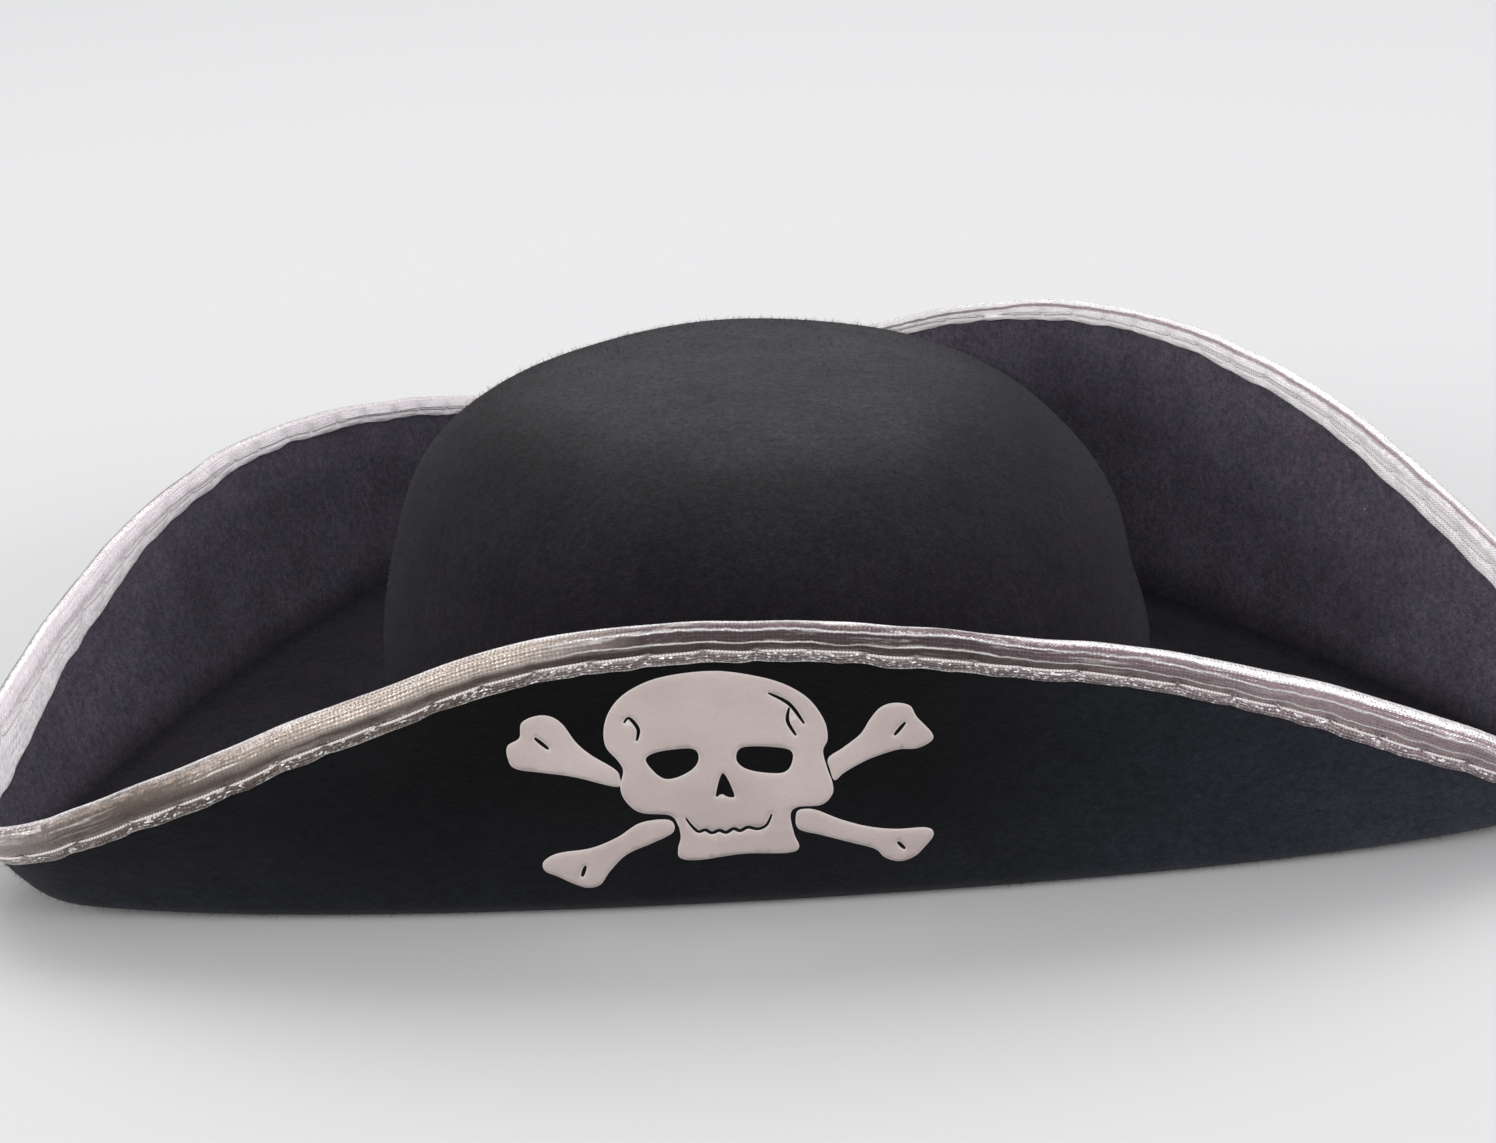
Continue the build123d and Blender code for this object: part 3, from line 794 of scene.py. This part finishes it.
def fuzz(name, place, chosen, amount):
    """Loose fibres that stand off the felt and soften its edges."""
    quads = felt_faces[chosen]
    a, b, c, d = (felt_points[quads[:, k]] for k in range(4))
    area = np.linalg.norm(np.cross(c - a, d - b), axis=1)
    pick = rng.choice(len(quads), amount, p=area / area.sum())
    s, t = rng.uniform(size=(2, amount, 1))
    root = (a[pick] * (1 - s) + b[pick] * s) * (1 - t) + (d[pick] * (1 - s) + c[pick] * s) * t
    stand = normals[quads[pick, 0]]
    across = unit(np.cross(stand, rng.normal(size=(amount, 3))))
    ahead = unit(np.cross(stand, across) + stand * rng.uniform(0.2, 1.1, (amount, 1)))
    tip = root + ahead * (rng.uniform(0.5, 1.7, (amount, 1)) + 2.2 * rng.uniform(size=(amount, 1)) ** 7)
    points = np.stack((root - across * HAIR, root + across * HAIR, tip), 1).reshape(-1, 3)
    points[:, 2] = np.maximum(points[:, 2], 0.02)
    faces = np.arange(3 * amount).reshape(-1, 3)
    piece = mesh_from(name, points, faces, np.repeat(stand, 3, 0), material=FELT_LOOK)
    give(piece, "painted_shading", np.repeat(painted_shading[quads[pick, 0]], 3))
    settle(piece, place)


# Bare felt only: not under the ribbon, the print or the crown
bare = row_of >= CROWN_ROWS - 1
edge_row = rows[first_flap + FLAP_ROWS]
from_edge = np.linalg.norm(felt_points[felt_faces[:, 0]] - edge_row[column], axis=1)
bare &= ~is_flap[row_of] | (from_edge > CLEAR_OF_EDGE)
over_print = np.abs(felt_points[felt_faces[:, 0], 0] - PRINT_X + ORIGIN[0]) < CLEAR_OF_PRINT
bare &= ~((where == 0) & over_print & (row_of < half_way))
for k, name in enumerate(NAMES):
    fuzz(f"{name}_flap_fuzz", k, bare & on_side[k], 16000)
fuzz("crown_and_brim_fuzz", STILL, bare & on_body, 70000)

# ---- the silver binding
PITCH = 10.6
SEAM_OUT = OUTSIDE - 3.1
SEAM_IN = np.minimum(4.6, INSIDE * 0.55)
STITCHES = int(ROUND // PITCH)
stitch_at = (np.arange(STITCHES) + 0.5) * ROUND / STITCHES + rng.uniform(-0.7, 0.7, STITCHES)


def near_stitch(run, width):
    """1 at a needle hole and 0 away from it."""
    gap = np.abs(np.asarray(run)[..., None] - stitch_at)
    return hump(np.minimum(gap, ROUND - gap).min(-1), 0, width)


PIT = near_stitch(RUN, 1.5)
PUCKER = near_stitch(RUN, 3.0)
PUFF = 0.75 + waves(RUN, ((7, 0.14, 0.3), (13, 0.12, 1.7), (31, 0.08, 0.9)))
FRAY = smooth(rng.normal(0, 1, STATIONS), 1.2) * 0.55
FRAY_IN = smooth(rng.normal(0, 1, STATIONS), 1.2) * 0.4

# Rows over the ribbon's two faces; its turn over the edge and inner width as its cloth is numbered
OUTER_ROWS = 22
INNER_ROWS = 14
TURN = 4.7
INNER_WIDTH = 6.5


def ribbon_rows():
    """Closed section of the ribbon at every station, and its cloth coordinates."""
    skin, thick = 0.12, 0.32
    low = RISE - OUTSIDE - FRAY * 0.45 + PUCKER * 0.3
    low_in = RISE - INSIDE - FRAY_IN * 0.3 + PUCKER * 0.2
    turn_radius = FELT / 2 + skin
    seam_out, seam_in = at_ring(SEAM_OUT, RUN), at_ring(SEAM_IN, RUN)
    found, across = [], []

    def add(points, at):
        found.append(points)
        across.append(at)

    def puff(drop, seam, hem):
        """How far the ribbon stands off: full above the seam, drawn in along it, puffed below it."""
        upper = PUFF * np.clip(drop / 2.0, 0, 1) ** 0.8 * np.clip((seam - drop) / (seam - 2.0), 0, 1) ** 0.8
        lower = 0.62 * np.clip((drop - seam) / 0.9, 0, 1) ** 0.7
        lower = lower * np.clip((hem - drop) / (hem - seam - 0.9), 0, 1) * (1 - 0.75 * PUCKER)
        pull = 0.5 * PIT * hump(drop, seam, 1.4)
        return upper * (1 - 0.25 * PUCKER) + lower - pull

    def outer_face(share, off):
        up = low + (RISE - low) * share
        drop = RISE - up
        stand = off + (puff(drop, seam_out, OUTSIDE) if off > skin + 0.01 else 0)
        return flap_point(RUN, up, -np.maximum(stand, 0.06))

    def roll(angle, off):
        r = turn_radius + off - skin
        return flap_point(RUN, RISE + r * sin(angle) * 0.82, FELT / 2 - r * cos(angle))

    def inner_face(share, off):
        up = RISE + (low_in - RISE) * share
        drop = RISE - up
        stand = off + (puff(drop, seam_in, RISE - low_in) * 0.8 if off > skin + 0.01 else 0)
        return flap_point(RUN, up, FELT + np.maximum(stand, 0.06))

    top = skin + thick
    outer = [(k / OUTER_ROWS, k / OUTER_ROWS * BINDING_OUTSIDE) for k in range(OUTER_ROWS + 1)]
    inner = [(k / INNER_ROWS, BINDING_OUTSIDE + TURN + k / INNER_ROWS * INNER_WIDTH)
             for k in range(INNER_ROWS + 1)]
    for share, at in outer[:-1]:
        add(outer_face(share, top), at)
    for k in range(11):
        angle = pi * k / 10
        add(roll(angle, top), BINDING_OUTSIDE + angle * 1.5)
    for share, at in inner[1:]:
        add(inner_face(share, top), at)
    for share, at in inner[::-INNER_ROWS // 2]:
        add(inner_face(share, skin), at)
    for angle in (pi * 0.75, pi * 0.5, pi * 0.25):
        add(roll(angle, skin), BINDING_OUTSIDE + angle * 1.5)
    for share, at in outer[::-OUTER_ROWS // 2]:
        add(outer_face(share, skin), at)
    return np.array(found), np.array(across)


ribbon, across = ribbon_rows()
ribbon_points = ribbon.reshape(-1, 3)
ribbon_faces = ring_faces(len(ribbon), closed=True)
ribbon_normals = point_normals(ribbon_points, ribbon_faces)
ribbon_uvs = np.stack((np.tile(RUN, len(ribbon)), np.repeat(across, STATIONS)), 1)
ribbon_column = ribbon_faces[:, 0] % STATIONS
CORNER_OF = ("right", "back", "left")


def section_ends(chosen):
    """The ribbon's section at both ends of a chosen run of stations, as closing faces."""
    index = np.arange(len(ribbon)) * STATIONS
    first = np.flatnonzero(chosen & ~np.roll(chosen, 1))[0]
    after = (np.flatnonzero(chosen & ~np.roll(chosen, -1))[0] + 1) % STATIONS
    return (index + first)[::-1], index + after


def ribbon_piece(name, place, stations, node):
    """The folded ribbon over the chosen stations."""
    piece = cut_out(name, ribbon_points, ribbon_normals, ribbon_faces, stations[ribbon_column],
                    RIBBON_LOOK, ribbon_uvs, section_ends(stations))
    settle(piece, place, (node,))


for k, name in enumerate(NAMES):
    ribbon_piece(f"{name}_ribbon", k, WHERE == k, f"{name}_binding")
corner_id = np.where(WHERE == STILL, np.where(U_AT > 0, SIDE_AT, (SIDE_AT + 2) % 3), -1)
for k, name in enumerate(CORNER_OF):
    ribbon_piece(f"{name}_point_ribbon", STILL, corner_id == k, f"{name}_point_binding")


# ---- threads
THREAD_SIDES = 6
THREAD_RADIUS = 0.28


def tubes(name, paths, radius, material):
    """Short round threads along the given paths."""
    points, faces, uvs = [], [], []
    for path in paths:
        path = np.asarray(path)
        base, run = len(points), 0.0
        for k, p in enumerate(path):
            ahead = path[min(k + 1, len(path) - 1)] - path[max(k - 1, 0)]
            ahead = ahead / np.linalg.norm(ahead)
            side = np.cross(ahead, (0.0, 0.0, 1.0))
            side /= max(np.linalg.norm(side), 1e-6)
            lift = np.cross(side, ahead)
            run += 0 if k == 0 else np.linalg.norm(p - path[k - 1])
            thin = radius * (0.35 if k in (0, len(path) - 1) else 1.0)
            for j in range(THREAD_SIDES):
                a = 2 * pi * j / THREAD_SIDES
                points.append(p + thin * (cos(a) * side + sin(a) * lift))
                uvs.append((run, j / THREAD_SIDES))
        last = base + (len(path) - 1) * THREAD_SIDES
        for start in range(base, last, THREAD_SIDES):
            for j in range(THREAD_SIDES):
                a, b = start + j, start + (j + 1) % THREAD_SIDES
                faces.append((a, b, b + THREAD_SIDES, a + THREAD_SIDES))
        faces.append(tuple(range(base, base + THREAD_SIDES))[::-1])
        faces.append(tuple(range(last, last + THREAD_SIDES)))
    return mesh_from(name, points, faces, None, uvs, material)


def seam_paths(place):
    """The threads that show on both faces of one side's ribbon, from needle hole to needle hole."""
    paths = []
    for k in range(STITCHES):
        first, last = stitch_at[k], stitch_at[(k + 1) % STITCHES]
        if last < first:
            last += ROUND
        middle = int(((first + last) / 2 % ROUND) / ROUND * STATIONS) % STATIONS
        if WHERE[middle] != place:
            continue
        t = np.linspace(0.03, 0.97, 11)
        run = first + (last - first) * t
        rise = at_ring(RISE, run)
        over = 0.2 + 0.5 * np.sin(pi * t) ** 0.3
        stray = rng.uniform(-0.3, 0.3, 2)
        drop = stray[0] * (1 - t) + stray[1] * t
        paths.append(flap_point(run, rise - drop - at_ring(SEAM_OUT, run), -over))
        paths.append(flap_point(run, rise - drop - at_ring(SEAM_IN, run), FELT + over))
    return paths


for k, name in enumerate(NAMES):
    piece = tubes(f"{name}_seam_thread", seam_paths(k), THREAD_RADIUS, THREAD_LOOK)
    settle(piece, k, (f"{name}_binding_stitches",))
settle(tubes("point_seam_thread", seam_paths(STILL), THREAD_RADIUS, THREAD_LOOK), STILL)

# ---- the print
# Outlines and drawn lines in millimetres about the print's own middle
SKULL = [
    (-5, 26.4), (2.5, 26.2), (11, 24.0), (17.4, 20.0), (21.2, 14.5), (22.2, 10), (21.4, 7), (22.4, 3),
    (23.8, -1), (23.8, -3.7), (21.6, -6.2), (16.6, -6.6), (15.2, -8.5), (16.2, -13.5), (17.4, -17),
    (15.2, -18.5), (6, -18.5), (-4, -20), (-8, -19.5), (-8.5, -17), (-8, -14), (-8.7, -10.5),
    (-10.5, -8.2), (-16.5, -7.5), (-19.7, -4.5), (-20.8, -1), (-20.2, 3), (-21.3, 5.5), (-23.8, 9),
    (-24.1, 13.5), (-22.6, 18), (-19.2, 21.8), (-13.2, 24.9),
]
LEFT_EYE = [(-15.5, 6), (-12.5, 7.7), (-6, 8.2), (-4.5, 6), (-5.5, 3.5), (-8.5, 1.5), (-11.5, 1), (-14, 3)]
RIGHT_EYE = [(3.3, 5.6), (4.3, 8.2), (9.5, 8.4), (14.6, 7.3), (14.9, 4), (13.2, 2), (8.6, 2.2), (4.9, 3.4)]
NOSE = [(0.6, 2.2), (-0.8, -3.5), (0.5, -3), (1.7, -3.7), (3.2, -3.4)]
BONES = {
    "upper_left_bone": [
        (-22, 3.5), (-27, 7), (-30, 10), (-32.5, 14), (-35, 16), (-38, 16.2), (-41, 14.5),
        (-41.5, 11), (-44, 9), (-44, 6), (-42.5, 3.7), (-37, 2.7), (-30, 1.5), (-21.4, -0.9), (-20.9, 1.4),
    ],
    "upper_right_bone": [
        (22.6, 5.2), (25.6, 7.6), (29, 10.8), (30.8, 14.5), (32.8, 17.5), (35.6, 18.6), (38.8, 17.8),
        (40.5, 14.9), (44, 10.7), (44, 8.7), (41, 7.0), (37, 6.8), (31, 4.6), (26.2, 1.6), (24.2, -0.2),
        (23.1, 2.4),
    ],
    "lower_left_bone": [
        (-10.5, -9.5), (-16.5, -10.2), (-21.5, -14), (-27, -16.7), (-33, -17.7), (-35.7, -18.7),
        (-37.4, -20.5), (-36.9, -22.7), (-34.0, -24.2), (-31, -25.9), (-28, -27), (-25.2, -26.2),
        (-23, -22.7), (-19.5, -18.5), (-14.2, -15.6), (-9.6, -12.6),
    ],
    "lower_right_bone": [
        (16.5, -7.9), (18.4, -7.1), (21, -7.6), (26, -10.0), (32, -12.0), (38, -12.9), (44.6, -12.8),
        (46.3, -14.6), (44.6, -17.8), (42.6, -20.2), (39.4, -21.4), (36.2, -20.3), (33.8, -17.9),
        (28.5, -16.0), (22, -13.9), (17.0, -12.0),
    ],
}
SKULL_LINES = [
    ([(-7.0, -9), (-5.6, -11.2), (-4.2, -12.6), (-2.8, -12.1), (-1.4, -12.9), (0.2, -12.2), (1.6, -12.8),
      (3.2, -11.8), (4.6, -12.4), (6.2, -11.5), (8.4, -12.0), (10.2, -11.0), (11.2, -8.2)], 0.95),
    ([(-20, 14.4), (-19.0, 15.6), (-17.1, 13.0), (-17.4, 10.2)], 0.85),
    ([(9.4, 21.2), (12.6, 19.4), (14.6, 17.6), (17.2, 13.6)], 0.85),
    ([(13.9, 17.6), (13.7, 14.4), (15.6, 10.8)], 0.8),
]
BONE_LINES = {
    "upper_left_bone": [([(-38.4, 11), (-35.5, 8.3)], 0.9)],
    "upper_right_bone": [([(38.2, 13.7), (36.1, 10.4)], 0.9)],
    "lower_left_bone": [([(-28.3, -21.3), (-29.1, -24.2)], 0.9)],
    "lower_right_bone": [([(38.6, -16.2), (40.4, -18.2)], 0.9)],
}


# Spacing of the points along the film's edges and over its face
EDGE_STEP = 0.45
FACE_STEP = 1.1


def curve(a, b, c, d, t):
    """A smooth line from b to c that also heeds the points before and after them."""
    return 0.5 * ((2 * b) + (c - a) * t + (2 * a - 5 * b + 4 * c - d) * t**2
                  + (3 * b - a - 3 * c + d) * t**3)


def closed_curve(points):
    """A smooth closed line through the points."""
    p = np.array(points, float)
    found = []
    for a, b, c, d in zip(np.roll(p, 1, 0), p, np.roll(p, -1, 0), np.roll(p, -2, 0)):
        count = max(2, int(np.linalg.norm(c - b) / EDGE_STEP))
        found.append(curve(a, b, c, d, (np.arange(count) / count)[:, None]))
    return np.concatenate(found)


def slit(points, width):
    """A narrow closed outline that follows a drawn line, tapering to its ends."""
    p = np.array([points[0], *points, points[-1]], float)
    line = []
    for a, b, c, d in zip(p, p[1:], p[2:], p[3:]):
        count = max(3, int(np.linalg.norm(c - b) / EDGE_STEP))
        line.append(curve(a, b, c, d, np.linspace(0, 1, count, endpoint=False)[:, None]))
    line = np.concatenate(line + [p[-1:]])
    ahead = unit(np.gradient(line, axis=0))
    side = np.stack((-ahead[:, 1], ahead[:, 0]), 1)
    taper = np.sin(pi * np.linspace(0.06, 0.94, len(line)))
    half = width / 2 * np.sqrt(np.clip(taper, 0, 1))[:, None]
    return np.concatenate((line + side * half, (line - side * half)[::-1]))


def inside(points, ring):
    """Which points lie inside a closed line."""
    x, y = points.T[:, :, None]
    (ax, ay), (bx, by) = ring.T, np.roll(ring, -1, 0).T
    cross = (ay > y) != (by > y)
    reach = (bx - ax) * (y - ay) / np.where(by == ay, 1e-9, by - ay) + ax
    return ((cross & (x < reach)).sum(1) % 2) == 1


def flat_film(outline, holes):
    """One island of the film laid flat: its points, its triangles and each point's way in from the edge."""
    rings = [closed_curve(outline)] + holes
    edge = np.concatenate(rings)
    low, high = edge.min(0), edge.max(0)
    gx, gy = np.meshgrid(np.arange(low[0], high[0], FACE_STEP), np.arange(low[1], high[1], FACE_STEP))
    grid = np.stack((gx.ravel(), gy.ravel()), 1) + rng.uniform(-0.25, 0.25, (gx.size, 2))
    apart = np.linalg.norm(grid[:, None] - edge[None], axis=2).min(1)
    grid = grid[(apart > 0.5) & inside(grid, rings[0])]
    points, links, base = [Vector(p) for p in np.concatenate((edge, grid))], [], 0
    for ring in rings:
        links += [(base + i, base + (i + 1) % len(ring)) for i in range(len(ring))]
        base += len(ring)
    flat, _, faces, *_ = delaunay_2d_cdt(points, links, [], 0, 1e-6)
    flat, faces = np.array([tuple(p) for p in flat]), np.array([tuple(f) for f in faces])
    middle = flat[faces].mean(1)
    keep = inside(middle, rings[0])
    for hole in holes:
        keep &= ~inside(middle, hole)
    used, back = np.unique(faces[keep].ravel(), return_inverse=True)
    flat, faces = flat[used], back.reshape(-1, 3)
    return flat, faces, np.linalg.norm(flat[:, None] - edge[None], axis=2).min(1)


def film_height(flat, inset):
    """How far the film's face stands off the felt: rounded at its edge, with a wrinkle on the forehead."""
    x, y = flat.T
    wrinkle = 0.42 * hump(x - 0.27 * (y - 20), -0.6, 0.9) * hump(y, 20, 5.5)
    waviness = 0.06 * np.sin(x / 2.3 + np.sin(y / 3.1)) * np.sin(y / 2.7)
    return 0.1 + 0.22 * (1 - hump(inset, 0, 0.35)) + wrinkle + waviness


def build_print(name, outline, lines, holes=()):
    """One island of the film, lying on the front flap's curved face."""
    flat, faces, inset = flat_film(outline, [*map(closed_curve, holes), *(slit(*line) for line in lines)])
    turn = radians(PRINT_TILT)
    wide, tall = (flat * PRINT_SCALE).T
    x = wide * cos(turn) - tall * sin(turn) + PRINT_X - ORIGIN[0]
    z = wide * sin(turn) + tall * cos(turn) + PRINT_Z
    on_front = np.flatnonzero(SIDE_AT == 0)
    order = on_front[np.argsort(RING[on_front, 0])]
    run = np.interp(x, RING[order, 0], RUN[order])
    up = (z - HINGE_Z - at_ring(LIFTS, run)) / np.cos(at_ring(LEAN, run))
    upper = flap_point(run, up, -film_height(flat, inset))
    lower = flap_point(run, up, -0.02)
    # The film's edges: the sides that belong to one triangle only
    sides = np.concatenate((faces[:, [0, 1]], faces[:, [1, 2]], faces[:, [2, 0]]))
    _, which, uses = np.unique(np.sort(sides, 1), axis=0, return_inverse=True, return_counts=True)
    a, b = sides[uses[which.ravel()] == 1].T
    skirt = np.stack((b, a, a + len(flat), b + len(flat)), 1)
    piece = mesh_from(name, np.concatenate((upper, lower)), faces.tolist() + skirt.tolist(),
                      material=PRINT_LOOK)
    return give(piece, "inset", np.tile(inset, 2))


skull = build_print("skull_print", SKULL, SKULL_LINES, (LEFT_EYE, RIGHT_EYE, NOSE))
settle(skull, 0, ("skull",))
for name, outline in BONES.items():
    settle(build_print(f"{name}_print", outline, BONE_LINES[name]), 0, (name,))

# ---- sweatband and label
BAND_HALF = CROWN_HALF - (FELT + 0.9, FELT * 1.14 + 1.0)
BAND_WIDTH = 27.4
BAND_FOOT = 1.0
BAND_POINTS = 480
BAND_ROWS = 14
BAND_STITCHES = 96


def band_point(turn, height, inward):
    """A point on the sweatband, slightly uneven as sewn ribbon is."""
    sway = 0.22 * np.sin(turn * 9 + height / 7) * (height / 28) + 0.12 * np.sin(turn * 23 + 1)
    half = BAND_HALF - np.asarray(inward)[..., None] - 0.15
    out = np.stack((np.cos(turn), np.sin(turn)), -1)
    xy = CROWN_CENTRE + out * (half + np.asarray(sway)[..., None] * 0.5)
    return with_height(xy, height + 0.25 * np.sin(turn * 5))


def level_round(up, inward):
    """A row of points round the band at one height above its foot."""
    return band_point(turns, np.full(BAND_POINTS, BAND_FOOT + up), np.full(BAND_POINTS, inward))


turns = np.arange(BAND_POINTS) / BAND_POINTS * 2 * pi
band_across = [BAND_WIDTH * k / BAND_ROWS for k in range(BAND_ROWS + 1)]
band = [level_round(up, 0.75) for up in band_across]
band_across += band_across[::-BAND_ROWS // 2]
band = np.array(band + [level_round(up, 0.1) for up in band_across[BAND_ROWS + 1:]])
band_faces = ring_faces(len(band), closed=True, around=BAND_POINTS)[:, TURNED_OVER]
band_uvs = np.stack((np.tile(turns * 91.5, len(band)), np.repeat(band_across, BAND_POINTS)), 1)
sweatband = mesh_from("sweatband_ribbon", band.reshape(-1, 3), band_faces, None, band_uvs, LINING_LOOK)
settle(sweatband, STILL, ("sweatband",))

paths = []
for k in range(BAND_STITCHES):
    turn = np.linspace(0, 2 * pi / BAND_STITCHES * 0.62, 6) + 2 * pi * k / BAND_STITCHES
    bow = 0.12 * np.sin(np.linspace(0, pi, 6))
    paths.append(band_point(turn, np.full(6, 4.0), 0.72 + bow + 0.08))
settle(tubes("sweatband_thread", paths, 0.16, DARK_THREAD_LOOK), STILL,
       ("sweatband_stitches",))

gx, gz = np.meshgrid(np.linspace(-11, 11, 23), np.linspace(6, 24, 19))
label_turn = pi / 2 - gx / BAND_HALF[0]
ripple = np.maximum(0.25 * np.sin(gx / 4.5) * (gz - 6) / 18 + 0.1, 0.02)
label_points = np.concatenate([band_point(label_turn, gz, off + ripple) for off in (1.0, 0.85)])
grid = np.arange(gx.size).reshape(gx.shape)
front = np.stack((grid[:-1, :-1], grid[:-1, 1:], grid[1:, 1:], grid[1:, :-1]), -1).reshape(-1, 4)
rim = np.concatenate((grid[0], grid[1:, -1], grid[-1, -2::-1], grid[-2:0:-1, 0]))
after_rim = np.roll(rim, -1)
edges = np.stack((after_rim, rim, rim + gx.size, after_rim + gx.size), 1)
faces = np.concatenate((front, front[:, TURNED_OVER] + gx.size, edges))
label_uvs = np.tile(np.stack((gx.ravel(), gz.ravel()), 1), (2, 1))
label = mesh_from("care_label_cloth", label_points.reshape(-1, 3), faces, None, label_uvs, LABEL_LOOK)
settle(label, STILL, ("care_label",))

# ---- stage, lights and camera
floor_mesh = bpy.data.meshes.new("floor")
floor_mesh.from_pydata([(-6, -6, 0), (6, -6, 0), (6, 6, 0), (-6, 6, 0)], [], [(0, 1, 2, 3)])
floor = bpy.data.objects.new("floor", floor_mesh)
bpy.context.scene.collection.objects.link(floor)
n = Nodes("floor_paint")
n.set(Base_Color=(0.66, 0.665, 0.665, 1), Roughness=0.7, Specular_IOR_Level=0.2)
floor_mesh.materials.append(n.material)

scene = bpy.context.scene
world = bpy.data.worlds.new("studio")
scene.world = world
world.use_nodes = True
world.node_tree.nodes["Background"].inputs[0].default_value = (0.95, 0.96, 1.0, 1)
world.node_tree.nodes["Background"].inputs[1].default_value = 0.5
scene.view_settings.view_transform = "Standard"


def softbox(name, at, aim, size, power, colour):
    """A large soft light aimed at a point, all in metres."""
    data = bpy.data.lights.new(name, "AREA")
    data.shape, data.size, data.size_y = "RECTANGLE", *size
    data.energy, data.color = power, colour
    made = bpy.data.objects.new(name, data)
    made.location = at
    made.rotation_mode = "QUATERNION"
    made.rotation_quaternion = (Vector(aim) - Vector(at)).to_track_quat("-Z", "Y")
    scene.collection.objects.link(made)


softbox("overhead_softbox", (0.0, 0.75, 1.5), (0, 0.25, 0), (2.2, 1.4), 19.8, (1.0, 0.99, 0.985))
softbox("left_softbox", (-1.7, -0.9, 0.7), (0, 0, 0.05), (1.2, 0.9), 18.0, (1.0, 0.98, 0.97))
softbox("right_softbox", (1.7, -0.9, 0.7), (0, 0, 0.05), (1.2, 0.9), 18.0, (1.0, 0.965, 0.985))
softbox("front_softbox", (0.0, -2.6, 0.9), (0, 0, 0.05), (3.2, 1.5), 16.0, (1.0, 0.985, 0.985))

# The camera of the reference view
azimuth, elevation, roll = radians(-3.547), radians(21.372), radians(-1.78)
target = Vector((-0.0029, -0.0403, 0.040))
CAMERA_DISTANCE = 0.74392
back = Vector((sin(azimuth) * cos(elevation), -cos(azimuth) * cos(elevation), sin(elevation)))
right = (-back).cross(Vector((0, 0, 1))).normalized()
up = right.cross(-back)
turned = right * cos(roll) + up * sin(roll)
upward = -right * sin(roll) + up * cos(roll)
camera_data = bpy.data.cameras.new("camera")
camera = bpy.data.objects.new("camera", camera_data)
scene.collection.objects.link(camera)
scene.camera = camera
matrix = Matrix.Identity(4)
for row in range(3):
    matrix[row][0], matrix[row][1], matrix[row][2] = turned[row], upward[row], back[row]
    matrix[row][3] = (target + back * CAMERA_DISTANCE)[row]
camera.matrix_world = matrix
camera_data.sensor_width = 36.0
camera_data.lens = 76.52
camera_data.shift_x, camera_data.shift_y = -0.01214, -0.00054
camera_data.clip_start, camera_data.clip_end = 0.01, 100.0
